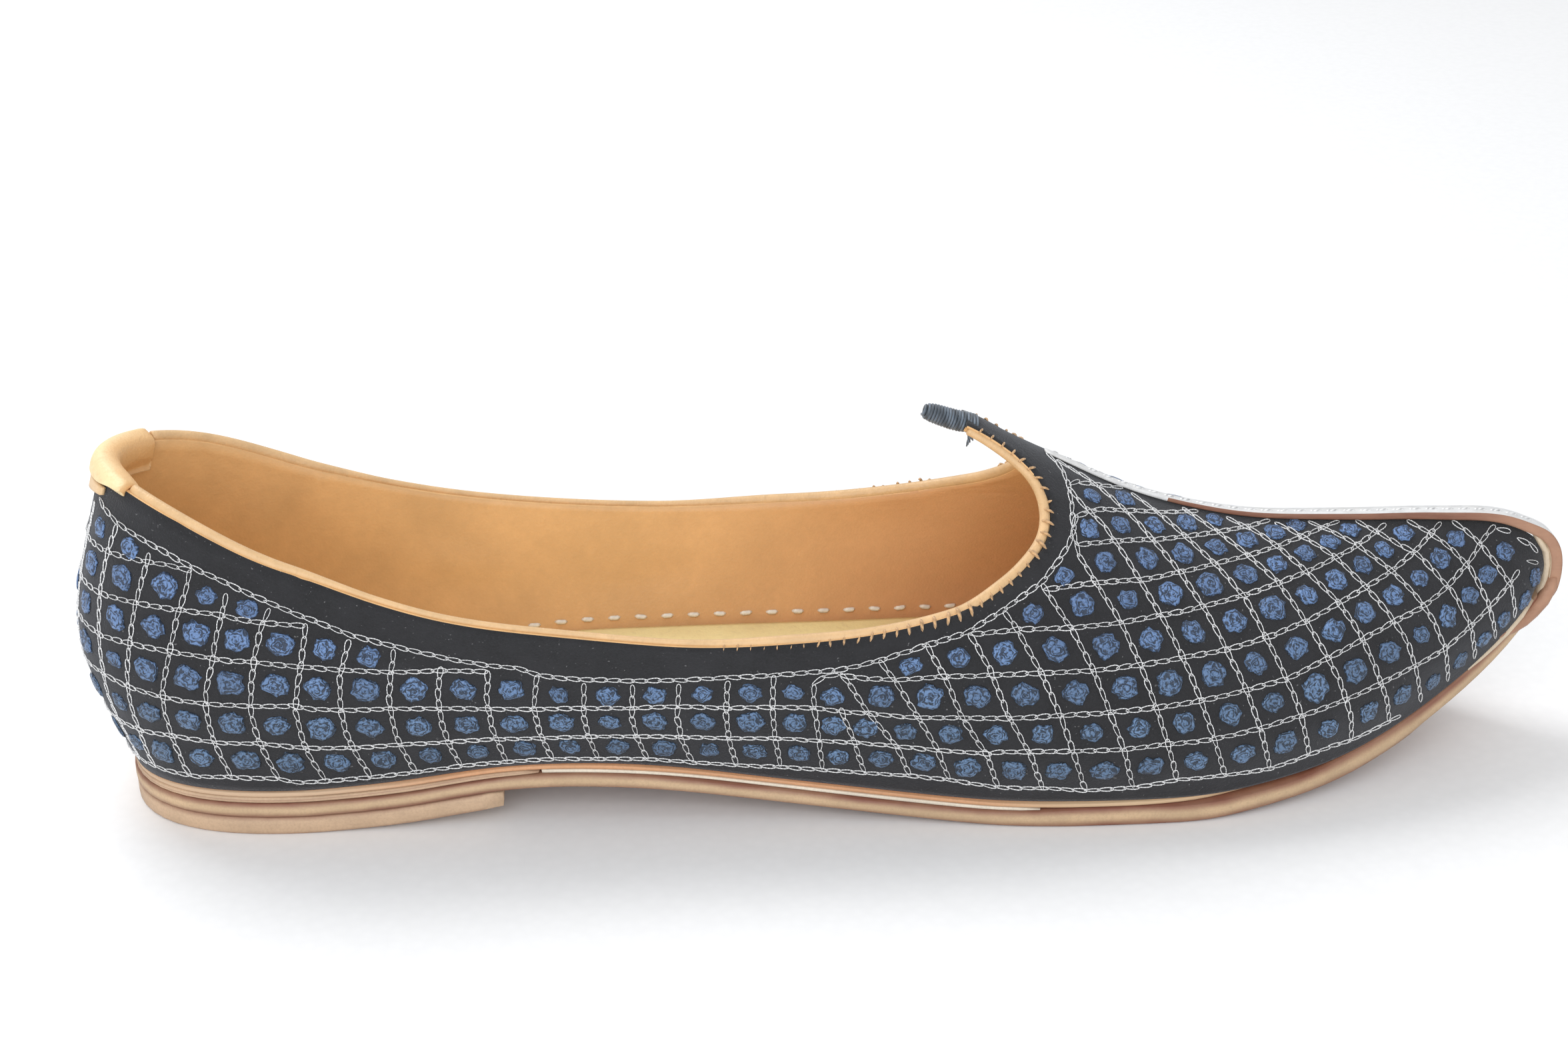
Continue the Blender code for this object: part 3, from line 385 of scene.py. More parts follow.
class Finish:
    """One material, built up from nodes."""

    def __init__(self, name, **constants):
        self.material = bpy.data.materials.new(name)
        self.material.use_nodes = True
        self.tree = self.material.node_tree
        self.tree.nodes.clear()
        self.shader = self.tree.nodes.new("ShaderNodeBsdfPrincipled")
        output = self.tree.nodes.new("ShaderNodeOutputMaterial")
        self.tree.links.new(self.shader.outputs[0], output.inputs["Surface"])
        for key, value in constants.items():
            self.shader.inputs[key.replace("_", " ").title()].default_value = value
        self.place = self.node("ShaderNodeTexCoord", out="Object")

    def node(self, kind, settings=None, sockets=None, out=0):
        """Adds a node, sets it up, joins its sockets and gives back one of its outputs."""
        made = self.tree.nodes.new(kind)
        for key, value in (settings or {}).items():
            setattr(made, key, value)
        for key, value in (sockets or {}).items():
            self.join(made.inputs[key], value)
        return Wire(self, made.outputs[out])

    def join(self, socket, value):
        if isinstance(value, Wire):
            self.tree.links.new(value.socket, socket)
        else:
            socket.default_value = value

    def noise(self, size, detail=3.0, roughness=0.5, stretch=(1.0, 1.0, 1.0)):
        """Cloudy pattern whose patches are about that many millimetres."""
        place = self.node("ShaderNodeMapping", None, {"Vector": self.place, "Scale": stretch})
        sockets = {"Vector": place, "Scale": 1.0 / (size * MM), "Detail": detail, "Roughness": roughness}
        return self.node("ShaderNodeTexNoise", None, sockets)

    def cells(self, size):
        """Cell pattern of about that many millimetres."""
        return self.node("ShaderNodeTexVoronoi", None, {"Vector": self.place, "Scale": 1.0 / (size * MM)})

    def value(self, attribute):
        """A number kept on the mesh."""
        return self.node("ShaderNodeAttribute", {"attribute_name": attribute}, out="Fac")

    def axis(self, letter):
        return self.node("ShaderNodeSeparateXYZ", None, {0: self.place}, letter)

    def rise(self, value, low, high, kind="LINEAR"):
        """0 below low and 1 above high."""
        return self.node("ShaderNodeMapRange", {"interpolation_type": kind},
                         {"Value": value, "From Min": low, "From Max": high})

    def between(self, value, low, high):
        """0 below low and 1 above high, eased."""
        return self.rise(value, low, high, "SMOOTHSTEP")

    def band(self, value, middle, half):
        """1 in the middle of a soft band of the value, 0 away from it."""
        return self.between(value, middle - half, middle) - self.between(value, middle, middle + half)

    def wave(self, turns):
        """0 to 1 and back, once a turn."""
        return self.node("ShaderNodeMath", {"operation": "SINE"}, {0: turns * math.tau}) * 0.5 + 0.5

    def mix(self, share, first, second):
        """Mixes two colours."""
        sockets = {0: share, 6: rgba(first), 7: rgba(second)}
        return self.node("ShaderNodeMix", {"data_type": "RGBA"}, sockets, 2)

    def scaled(self, tone, factor):
        """A worked-out colour made lighter or darker."""
        return self.node("ShaderNodeVectorMath", {"operation": "SCALE"}, {0: tone, "Scale": factor})

    def mottled(self, pattern, low, high, tint, at_low, at_high):
        """A colour that changes shade as a pattern goes from low to high."""
        return self.mix(self.rise(pattern, low, high), shade(tint, at_low), shade(tint, at_high))

    def stained(self, tone, pattern, low, high, weight, stain):
        """A colour with another one mixed in where a pattern is high."""
        return self.mix(self.rise(pattern, low, high) * weight, tone, stain)

    def wear(self, tone, rough, height, depth, strength=1.0):
        """Gives the shader its colour, roughness and relief, with the relief's depth in millimetres."""
        self.join(self.shader.inputs["Base Color"], rgba(tone))
        self.join(self.shader.inputs["Roughness"], rough)
        relief = {"Height": height, "Strength": strength, "Distance": depth * MM}
        self.join(self.shader.inputs["Normal"], self.node("ShaderNodeBump", None, relief))
        return self.material


def rgba(value):
    """A colour with its alpha, where it is a plain colour."""
    return value if isinstance(value, Wire) else (*tuple(value)[:3], 1.0)


def shade(value, factor):
    """A colour made lighter or darker."""
    return tuple(min(1.0, channel * factor) for channel in value)


def suede_finish(colours):
    """Black suede: short nap in patches brushed both ways, with a little lint."""
    f = Finish("black_suede", sheen_weight=0.35, sheen_roughness=0.45, sheen_tint=(0.55, 0.57, 0.62, 1.0))
    nap = f.noise(0.45, 5.0, 0.7)
    brushed = f.noise(7.0, 4.0, 0.6)
    lint = f.noise(0.55, 2.0, 0.4)
    tone = f.mottled(nap, 0.3, 0.75, colours.suede, 0.55, 1.9)
    tone = f.stained(tone, brushed, 0.38, 0.68, 0.55, shade(colours.suede, 2.1))
    tone = f.stained(tone, lint, 0.71, 0.77, 0.6, (0.2, 0.2, 0.205))
    return f.wear(tone, nap * 0.12 + 0.84, nap + 0.5 * f.noise(0.16, 2.0), 0.22, 0.75)


def lining_finish(colours):
    """Tan lining leather: mottled, with painted shade low down and towards the toe."""
    f = Finish("tan_lining")
    fine = f.noise(2.2, 5.0, 0.65)
    # Painted shade deep in the shoe towards the toe, under the vamp, and a little low down by the insole
    deep_shade = f.between(f.axis("X"), -0.05, 0.05) * (1.0 - f.between(f.axis("Z"), 0.04, 0.066)) * 0.6
    low = (1.0 - f.between(f.axis("Z"), 0.014, 0.045)) * 0.05
    tone = f.mottled(f.noise(16.0, 5.0, 0.6), 0.3, 0.72, colours.lining, 0.89, 1.08)
    tone = f.mix(deep_shade + low, tone, colours.lining_shade)
    tone = f.stained(tone, fine, 0.35, 0.7, 0.22, shade(colours.lining, 0.7))
    return f.wear(tone, fine * 0.2 + 0.42, f.cells(0.55) * 0.5 + fine, 0.16, 0.5)


def leather_finish(name, tint, grain=0.5, mottle=9.0, rough=0.45):
    """Plain smooth leather with pores, faint mottling and handling marks."""
    f = Finish(name)
    fine = f.noise(grain * 2.5, 4.0, 0.6)
    tone = f.mottled(f.noise(mottle, 4.0, 0.6), 0.3, 0.7, tint, 0.88, 1.08)
    tone = f.stained(tone, fine, 0.5, 0.72, 0.35, shade(tint, 0.72))
    return f.wear(tone, fine * 0.22 + (rough - 0.1), f.cells(grain) * 0.6 + fine, 0.12, 0.6)


def pad_finish(colours):
    """Pale leather of the pad, turning to the lining's tan on its faces that look into the shoe."""
    f = Finish("pad_leather")
    patches = f.noise(8.0, 4.0, 0.6)
    fine = f.noise(1.2, 4.0, 0.6)
    tone = f.mottled(patches, 0.3, 0.7, colours.pad, 0.9, 1.06)
    tone = f.mix(f.between(f.value("inside") + (patches - 0.5) * 0.3, 0.4, 0.85), tone, colours.lining)
    tone = f.stained(tone, fine, 0.5, 0.72, 0.3, shade(colours.lining, 0.8))
    return f.wear(tone, fine * 0.22 + 0.4, f.cells(0.5) * 0.6 + fine, 0.14, 0.6)


def edge_finish(name, tint, dark, bands, ends=()):
    """Cut edge of a leather layer: fibres along it, burnished bands, and ends in other layers' colours."""
    f = Finish(name)
    share = f.value("edge") + (f.noise(13.0, 3.0, 0.6) - 0.5) * 0.24
    fibre = f.noise(0.6, 4.0, 0.65, (0.06, 0.2, 1.0))
    grain = f.noise(0.5, 4.0, 0.7)
    tone = f.mottled(f.noise(12.0, 4.0, 0.6), 0.34, 0.7, tint, 1.08, 0.86)
    tone = f.stained(tone, fibre, 0.42, 0.72, 0.12, shade(tint, 0.62))
    tone = f.stained(tone, grain, 0.42, 0.7, 0.42, shade(tint, 0.66))
    for near, far, other in ends:
        tone = f.mix(f.between(f.axis("X"), UPPER_LOW.x + near * MM, UPPER_LOW.x + far * MM), tone, other)
    height = fibre * 0.6 + grain * 0.5
    for middle, half, weight in bands:
        fade = f.rise(f.noise(18.0, 3.0, 0.6), 0.3, 0.62) * 0.35 + 0.65
        mark = f.band(share, middle, half) * fade * weight
        tone = f.mix(mark, tone, dark)
        height = height - mark * 0.5
    return f.wear(tone, fibre * 0.25 + 0.45, height, 0.16, 0.6)


def thread_finish(name, tint, metal=0.0, rough=0.5, light=1.5, dark=0.45):
    """Twisted thread, with painted highlights on the crests of its twist, painted shade in its grooves, and
    each stitch a little lighter or darker.
    """
    f = Finish(name, metallic=metal, sheen_weight=0.0 if metal else 0.25)
    twist = f.wave(f.value("twist"))
    # Painted shade in the twist's grooves and painted highlight on its crests
    tone = f.mix(twist, shade(tint, dark), shade(tint, light * 0.8))
    tone = f.mix(f.value("tone") * 0.45, tone, shade(tint, light))
    tone = f.stained(tone, f.noise(0.35, 2.0), 0.4, 0.7, 0.3, shade(tint, dark))
    return f.wear(tone, twist * -0.12 + rough, twist, 0.08, 0.8)


def coil_finish(colours):
    """Coiled blue thread: tangled strands with painted highlights on their tops and painted shade in the gaps
    between them.
    """
    f = Finish("blue_thread", sheen_weight=0.06)
    strand = f.wave(f.value("twist") + (f.noise(1.1, 2.0) - 0.5) * 3.2)
    height = strand * 0.34 + (1.0 - f.cells(0.95)) * 0.62 + f.noise(0.28, 2.0) * 0.22
    # Painted highlights where the strands stand high and painted shade in the gaps between them; each
    # rosette's highlight is a little brighter or dimmer
    lit = f.rise(height, 0.44, 0.68)
    blue = f.mix(f.between(f.axis("Z"), 0.018, 0.048), colours.blue_low, colours.blue)
    tone = f.mix(lit, f.scaled(blue, 0.27), f.scaled(blue, f.value("tone") * 0.5 + 1.3))
    return f.wear(tone, lit * -0.15 + 0.52, height, 0.45)


def strip_edge_finish(colours):
    """Cut edge of the toe strip, brown along the ridge and paler round the tip."""
    f = Finish("strip_edge")
    fibre = f.noise(0.7, 4.0, 0.65, (0.12, 1.0, 1.0))
    patches = f.noise(5.0, 4.0, 0.6)
    front = f.between(f.axis("X") + (patches - 0.5) * 0.01, *STRIP_FRONT)
    tone = f.mix(front, colours.strip_edge, colours.strip_front)
    tone = f.stained(tone, patches, 0.35, 0.7, 0.3, (0.12, 0.05, 0.034))
    tone = f.stained(tone, fibre, 0.42, 0.7, 0.3, (0.44, 0.26, 0.165))
    return f.wear(tone, fibre * 0.2 + 0.5, fibre, 0.15, 0.6)


def strip_finish(colours):
    """Silver-faced leather, slightly creased and dulled."""
    f = Finish("silver_strip", metallic=0.25)
    creased = f.noise(1.6, 5.0, 0.65, (0.5, 1.0, 1.0))
    dull = f.noise(6.0, 3.0, 0.6)
    tone = f.mottled(creased, 0.4, 0.72, colours.strip, 1.0, 0.8)
    tone = f.stained(tone, dull, 0.5, 0.8, 0.4, (0.6, 0.57, 0.52))
    return f.wear(tone, dull * 0.25 + 0.3, creased, 0.15, 0.6)


def floor_finish(colours):
    """Pale matt board."""
    f = Finish("pale_floor")
    foam = f.cells(2.4)
    tone = f.mix(foam * 0.6, shade(colours.floor, 1.02), shade(colours.floor, 0.97))
    return f.wear(tone, f.noise(1.5) * 0.1 + 0.75, foam, 0.1, 0.2)


# Shapes

def eased(value, low, high):
    """0 at low and 1 at high, eased."""
    share = min(max((value - low) / (high - low), 0.0), 1.0)
    return share * share * (3.0 - 2.0 * share)


def on_shoe(x, y, z):
    """A place given in millimetres: from the back of the heel, from the middle and above the floor."""
    return Vector((UPPER_LOW.x + x * MM, y * MM, z * MM))


def from_heel(x):
    """Millimetres from the back of the heel."""
    return (x - UPPER_LOW.x) / MM


def show(name, mesh, materials, slot, *nodes):
    """Puts a finished piece on the shoe, in place of the CAD nodes it stands for."""
    piece = bpy.data.objects.new(name, mesh)
    bpy.context.scene.collection.objects.link(piece)
    for material in materials:
        mesh.materials.append(material)
    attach(piece, "root")
    if nodes:
        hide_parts(*nodes)


def refined(node, levels, sharp, crease):
    """A copy of a CAD node with its triangles joined and its surface rounded, sharp edges kept."""
    bm = bmesh.new()
    bm.from_mesh(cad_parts[node].data)
    bmesh.ops.remove_doubles(bm, verts=bm.verts, dist=1e-6)
    bmesh.ops.join_triangles(bm, faces=bm.faces, angle_face_threshold=math.radians(35.0),
                             angle_shape_threshold=math.radians(70.0))
    layer = bm.edges.layers.float.new("crease_edge")
    for edge in bm.edges:
        if edge.is_manifold and edge.calc_face_angle(0.0) > math.radians(sharp):
            edge[layer] = crease
    rough = bpy.data.meshes.new(node + "_rough")
    bm.to_mesh(rough)
    bm.free()
    carrier = bpy.data.objects.new(node + "_rough", rough)
    bpy.context.scene.collection.objects.link(carrier)
    rounding = carrier.modifiers.new("rounding", "SUBSURF")
    rounding.levels = rounding.render_levels = levels
    shapes = bpy.context.evaluated_depsgraph_get()
    mesh = bpy.data.meshes.new_from_object(carrier.evaluated_get(shapes), depsgraph=shapes)
    mesh.name = node + "_finished"
    bpy.data.objects.remove(carrier)
    bpy.data.meshes.remove(rough)
    mesh.shade_smooth()
    mesh.set_sharp_from_angle(angle=math.radians(58.0))
    return mesh


def tree_of(mesh, material=None):
    """Search tree of a mesh's faces, or of those with one material."""
    faces = [tuple(polygon.vertices) for polygon in mesh.polygons
             if material is None or polygon.material_index == material]
    return BVHTree.FromPolygons([vertex.co.copy() for vertex in mesh.vertices], faces)


def with_normals(mesh):
    """Each point of a mesh, with its normal from before any of them moves."""
    return list(zip(mesh.vertices, [vertex.normal.copy() for vertex in mesh.vertices]))


def keep_number(mesh, name, values, domain="POINT"):
    """Keeps one number for each point or corner of a mesh."""
    attribute = mesh.attributes.new(name, "FLOAT", domain)
    attribute.data.foreach_set("value", np.asarray(values, np.float32))


def mark_edge(mesh):
    """Keeps each point's share of its layer's height, from 0 to 1 on top, and lifts the top a little."""
    tree = tree_of(mesh)
    inset = EDGE_INSET * MM
    shares = []
    for vertex in mesh.vertices:
        inner = vertex.co - Vector((inset * (1.0 if vertex.co.x > 0.05 else -1.0), 0.0, 0.0))
        inner.y -= math.copysign(min(inset, abs(inner.y)), inner.y)
        top = tree.ray_cast(inner + UP * 0.05, -UP)[0]
        low = tree.ray_cast(inner - UP * 0.05, UP)[0]
        if top is None or low is None or top.z - low.z < 1e-5:
            shares.append(0.5)
        else:
            shares.append((vertex.co.z - low.z) / (top.z - low.z))
    keep_number(mesh, "edge", shares)
    for vertex, share in zip(mesh.vertices, shares):
        vertex.co.z += LAYER_GAP * MM * min(max(share * 2.0 - 0.5, 0.0), 1.0)


def extruded(bm, edges):
    """Points and edges of a new ring, extruded from the edges of the last one."""
    made = bmesh.ops.extrude_edge_only(bm, edges=edges)["geom"]
    return ([item for item in made if isinstance(item, bmesh.types.BMVert)],
            [item for item in made if isinstance(item, bmesh.types.BMEdge)])


def unrolled(face, around):
    """Share of a turn at each corner of a face, without the jump where the turn closes."""
    angles = [vertex[around] for vertex in face.verts]
    wraps = max(angles) - min(angles) > 0.5
    return [angle + (1.0 if wraps and angle < 0.5 else 0.0) for angle in angles]


def taken_apart(bm, twist_of):
    """A small shape's points and faces and the twist at each corner, for sowing."""
    bmesh.ops.recalc_face_normals(bm, faces=bm.faces)
    bm.verts.index_update()
    places = np.array([vertex.co for vertex in bm.verts])
    faces = [[vertex.index for vertex in face.verts] for face in bm.faces]
    twist = [value for face in bm.faces for value in twist_of(face)]
    bm.free()
    return places, faces, twist


def rope(points, radii, sides=8, turns=0.0, closed=False):
    """A thread along points, made by extruding a ring, with so many turns of its twist in a millimetre."""
    count = len(points)
    bm = bmesh.new()
    around = bm.verts.layers.float.new("around")
    along = bm.verts.layers.float.new("along")
    before = first = edges = None
    reach = 0.0
    for i, point in enumerate(points):
        ahead = points[(i + 1) % count] if closed else points[min(i + 1, count - 1)]
        behind = points[i - 1] if closed else points[max(i - 1, 0)]
        facing = (ahead - behind).normalized()
        if before is None:
            turn = facing.to_track_quat("Z", "Y")
        else:
            turn = before[1].rotation_difference(facing) @ before[0]
            reach += (point - points[i - 1]).length
        matrix = Matrix.LocRotScale(point, turn, Vector((radii[i],) * 3))
        if before is None:
            ring = bmesh.ops.create_circle(bm, segments=sides, radius=1.0, matrix=matrix)["verts"]
            for k, vertex in enumerate(ring):
                vertex[around] = k / sides
            first = edges = list(bm.edges)
        else:
            ring, edges = extruded(bm, edges)
            bmesh.ops.transform(bm, matrix=matrix @ before[2].inverted(), verts=ring)
        for vertex in ring:
            vertex[along] = reach * turns / MM
        before = (turn, facing, matrix)
    if closed:
        bmesh.ops.bridge_loops(bm, edges=first + edges)
    else:
        bmesh.ops.contextual_create(bm, geom=first)
        bmesh.ops.contextual_create(bm, geom=edges)
    return taken_apart(bm, lambda face: [vertex[along] + angle
                                         for vertex, angle in zip(face.verts, unrolled(face, around))])


def straight_stitch(half, flat, low, high, thin, thick, sides, turns):
    """One stitch that dips into the leather at both ends."""
    line = ((-half, low), (-flat, high), (flat, high), (half, low))
    return rope([Vector((x * MM, 0.0, z * MM)) for x, z in line],
                [radius * MM for radius in (thin, thick, thick, thin)], sides, turns)


def sown(name, shapes, places, seed=3):
    """One mesh of many small copies: each place is a shape's number and where it goes."""
    chance = random.Random(seed)
    points, faces, twists, tones = [], [], [], []
    start = 0
    for number, matrix in places:
        corners, shape_faces, twist = shapes[number]
        turn = np.array(matrix)
        points.append(corners @ turn[:3, :3].T + turn[:3, 3])
        faces.extend([[start + corner for corner in face] for face in shape_faces])
        twists.extend(twist)
        tones.extend([chance.random()] * len(corners))
        start += len(corners)
    mesh = bpy.data.meshes.new(name)
    mesh.from_pydata(np.concatenate(points).tolist(), [], faces)
    keep_number(mesh, "twist", twists, "CORNER")
    keep_number(mesh, "tone", tones)
    mesh.shade_smooth()
    return mesh


def show_sown(name, shapes, places, finish, slot, seed=3):
    """Sows shapes at places as one piece of the shoe."""
    show(name, sown(name, shapes, places, seed), (finish,), slot)


def show_cord(name, points, radii, finish, width=1.0):
    """Shows a plain cord of the strip, made wider across the shoe."""
    cord = rope(points, [radius * MM for radius in radii])
    show_sown(name, (cord,), [(0, Matrix.Diagonal((1.0, width, 1.0, 1.0)))], finish, "silver_strip")


def swayed(chance, most, least=None):
    """A turn about a stitch's own upright axis, drawn between two angles."""
    return Matrix.Rotation(chance.uniform(-most if least is None else least, most), 4, "Z")


def set_on(point, along, normal):
    """Where a stitch goes: X along it, Z off the leather."""
    across = normal.cross(along).normalized()
    along = across.cross(normal).normalized()
    turn = Matrix((along, across, normal)).transposed()
    return Matrix.Translation(point) @ turn.to_4x4()


def evenly(points, pitch):
    """Places along a line of points at an even pitch, each with the line's direction there."""
    lengths = [0.0]
    for a, b in zip(points, points[1:]):
        lengths.append(lengths[-1] + (b - a).length)
    found = []
    i = 0
    count = max(1, round(lengths[-1] / pitch))
    for step in range(count):
        goal = (step + 0.5) * lengths[-1] / count
        while lengths[i + 1] < goal:
            i += 1
        a, b = points[i], points[i + 1]
        share = (goal - lengths[i]) / max(lengths[i + 1] - lengths[i], 1e-9)
        low, high = points[max(i - 1, 0)], points[min(i + 2, len(points) - 1)]
        found.append((a.lerp(b, share), (high - low).normalized()))
    return found


def middle_height(run):
    """Height of the axis inside the shoe at a run, in millimetres."""
    return float(np.interp(run, AXIS_RUNS, AXIS_HEIGHTS))


class Skin:
    """The suede's outer face, read as a run along the shoe and a height up from the sole."""

    def __init__(self, mesh):
        self.tree = tree_of(mesh, SUEDE_FACE)
        self.sides = {side: [self.station(run, side) for run in RUNS] for side, _ in SIDES}

    def hit(self, axis, out, angle):
        ray = out * math.cos(angle) + UP * math.sin(angle)
        return self.tree.ray_cast(axis + ray * SPOKE_REACH, -ray, SPOKE_REACH)[:2]

    def brink(self, axis, out, off, on):
        """Last hit between an angle that misses and one that meets the suede."""
        for _ in range(7):
            middle = (off + on) / 2
            if self.hit(axis, out, middle)[0] is None:
                off = middle
            else:
                on = middle
        return self.hit(axis, out, on)

    def station(self, run, side):
        """Heights, points and normals up the suede at one run."""
        turn = max(0.0, -run / HEEL_RUN) * math.pi / 2
        axis = Vector((HEEL_X + max(run, 0.0) * MM, 0.0, middle_height(run) * MM))
        out = Vector((-math.sin(turn), side * math.cos(turn), 0.0))
        angles = np.radians(np.arange(SPOKE_LOW, 90.01, SPOKE_STEP))
        hits = [self.hit(axis, out, angle) for angle in angles]
        low = next(i for i, found in enumerate(hits) if found[0] is not None)
        high = next((i for i in range(low, len(hits)) if hits[i][0] is None), len(hits))
        line = hits[low:high]
        if low > 0:
            line.insert(0, self.brink(axis, out, angles[low - 1], angles[low]))
        if high < len(hits):
            line.append(self.brink(axis, out, angles[high], angles[high - 1]))
        points, normals = (np.array([found[k] for found in line]) for k in range(2))
        steps = np.linalg.norm(np.diff(points, axis=0), axis=1)
        return np.concatenate(((0.0,), np.cumsum(steps))) / MM, points, normals

    def place(self, run, height, side):
        """Point and outward normal there, or None past the suede's edge."""
        at = (run - RUNS[0]) / RUN_STEP
        i = min(max(int(at), 0), len(RUNS) - 2)
        share = min(max(at - i, 0.0), 1.0)
        found = []
        for heights, points, normals in self.sides[side][i:i + 2]:
            if height > heights[-1]:
                return None
            found.append([np.array([np.interp(height, heights, rows[:, k]) for k in range(3)])
                          for rows in (points, normals)])
        point, normal = (found[0][k] * (1.0 - share) + found[1][k] * share for k in range(2))
        return Vector(point), Vector(normal).normalized()

    def follow(self, line, side, step=0.6):
        """Points along a charted line, in small steps."""
        found = []
        for (run, height), (next_run, next_height) in zip(line, line[1:]):
            count = max(1, int(math.hypot(next_run - run, next_height - height) / step))
            for k in range(count):
                share = k / count
                there = (run + (next_run - run) * share, height + (next_height - height) * share)
                found.append(self.place(*there, side))
        found.append(self.place(*line[-1], side))
        return [place[0] for place in found if place is not None]


@functools.cache
def skin():
    """The finished suede, read once."""
    return Skin(bpy.data.objects["upper_suede"].data)


@functools.cache
def covers():
    """What lies over the suede at the heel and along the ridge."""
    return [tree_of(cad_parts[node].data) for node in ("heel_pad", "heel_tab", "toe_strip")]


def is_covered(point, room):
    """Whether one of them comes so near to a point, in millimetres."""
    return any(tree.find_nearest(point, room * MM)[0] is not None for tree in covers())


def lean(line, height):
    """Run of a crossline at a height, carried on past its upper end."""
    runs, heights = zip(*line)
    if height > heights[-1]:
        return runs[-1] + (runs[-1] - runs[-2]) / (heights[-1] - heights[-2]) * (height - heights[-1])
    return float(np.interp(height, heights, runs))


def under_collar(run, height):
    """Whether a place lies on the embroidered side of the collar's chain."""
    if run < THROAT_START and height < QUARTER_TOP or run < 0.0:
        return height < np.interp(run, *zip(*COLLAR_LINE[:COLLAR_BACK])) - COLLAR_ROOM
    runs, heights = zip(*COLLAR_LINE[COLLAR_BACK - 1:])
    return run > np.interp(height, heights, runs) + THROAT_ROOM


def cells_between(left, right, low, high):
    """Middle run, height and room of each embroidered cell between two crosslines."""
    def middle(height):
        return (lean(left, height) + lean(right, height)) / 2

    bounds = [TOE_SOLE_HEIGHT] if middle(low) > ROWS["sole"][-1][0] + ROW_AFTER else []
    previous = {}
    height = low
    inside = False
    while height < high:
        run = middle(height)
        now_inside = under_collar(run, height)
        if inside and not now_inside:
            bounds.append(height)
        inside = now_inside
        for name, row in ROWS.items():
            if not row[0][0] - ROW_BEFORE <= run <= row[-1][0] + ROW_AFTER:
                previous.pop(name, None)
                continue
            gap = height - np.interp(run, *zip(*row))
            if name in previous and previous[name] < 0.0 <= gap:
                bounds.append(height)
            previous[name] = gap
        height += CELL_STEP
    bounds.sort()
    for bottom, top in zip(bounds, bounds[1:]):
        level = (bottom + top) / 2
        if top - bottom > CELL_LEAST and under_collar(middle(level), level):
            yield middle(level), level, min(top - bottom, abs(lean(right, level) - lean(left, level)) * 1.05)


# Pieces

class JuttiPiece:
    """What every piece's operator shares."""
    bl_options = {"REGISTER"}

    def execute(self, context):
        self.make(context.scene.jutti_sizes, context.scene.jutti_colours)
        return {"FINISHED"}


def outwards(place):
    """Direction from the axis inside the shoe to a place."""
    height = middle_height((place.x - HEEL_X) / MM)
    return Vector((min(0.0, place.x - HEEL_X), place.y, place.z - height * MM)).normalized()


def crease_upper(mesh):
    """Presses the listed creases into both faces of the wall."""
    for vertex in mesh.vertices:
        x, z = from_heel(vertex.co.x), vertex.co.z / MM
        move = 0.0
        for crease_x, crease_z, side, half, angle, depth, width in CREASES:
            if side * vertex.co.y <= 0.0:
                continue
            turn = math.radians(angle)
            along = (x - crease_x) * math.cos(turn) + (z - crease_z) * math.sin(turn)
            off = (z - crease_z) * math.cos(turn) - (x - crease_x) * math.sin(turn)
            if abs(along) < half and abs(off) < 3.0 * width:
                ends = math.cos(along / half * math.pi / 2) ** 2
                move -= depth * ends * math.exp(-(off / width) ** 2)
        if move:
            vertex.co += outwards(vertex.co) * move * MM


def sort_upper_faces(mesh):
    """Tells the suede outside from the lining inside and the raw edges."""
    for polygon in mesh.polygons:
        centre, up = polygon.center, polygon.normal.z
        run = (centre.x - HEEL_X) / MM
        facing = polygon.normal.dot(outwards(centre))
        behind_throat = run < 0.0 or run < RIM_RUN and abs(centre.y) > BEAK_HALF * MM
        if up > FLAT_UP and behind_throat or up < FLAT_DOWN and facing > 0.0:
            polygon.material_index = RAW_FACE
        elif facing > FACING_OUT:
            polygon.material_index = SUEDE_FACE
        elif facing < FACING_IN:
            polygon.material_index = LINING_FACE
        else:
            polygon.material_index = RAW_FACE


def along_stretch(x, back, start, end, ahead):
    """1 between the start and the end of a stretch of the shoe, easing to 0 behind and ahead of it."""
    return eased(x, back, start) * (1.0 - eased(x, end, ahead))


def at_waist(place):
    """1 along the waist of the collar, easing to 0 towards the heel and the throat."""
    return along_stretch(from_heel(place.x), *WAIST)


def lift_rim(mesh):
    """Raises the collar's raw edge into the rolled binding, so that no groove is left."""
    ups = {}
    for polygon in mesh.polygons:
        if polygon.material_index == RAW_FACE and polygon.center.z > RIM_LOW * MM:
            for corner in polygon.vertices:
                ups[corner] = ups.get(corner, Vector()) + polygon.normal
    for corner, up in ups.items():
        lift = RIM_LIFT - RIM_LOWER * at_waist(mesh.vertices[corner].co)
        mesh.vertices[corner].co += up.normalized() * lift * MM


class JUTTI_OT_upper(JuttiPiece, bpy.types.Operator):
    """Finish the upper: suede outside, leather lining inside, soft creases."""
    bl_idname = "jutti.upper"
    bl_label = "Upper"

    def make(self, sizes, colours):
        mesh = refined("upper", levels=2, sharp=55.0, crease=0.85)
        crease_upper(mesh)
        sort_upper_faces(mesh)
        lift_rim(mesh)
        raw = leather_finish("raw_edge", colours.lining, grain=0.4)
        show("upper_suede", mesh, (suede_finish(colours), lining_finish(colours), raw), "suede", "upper")


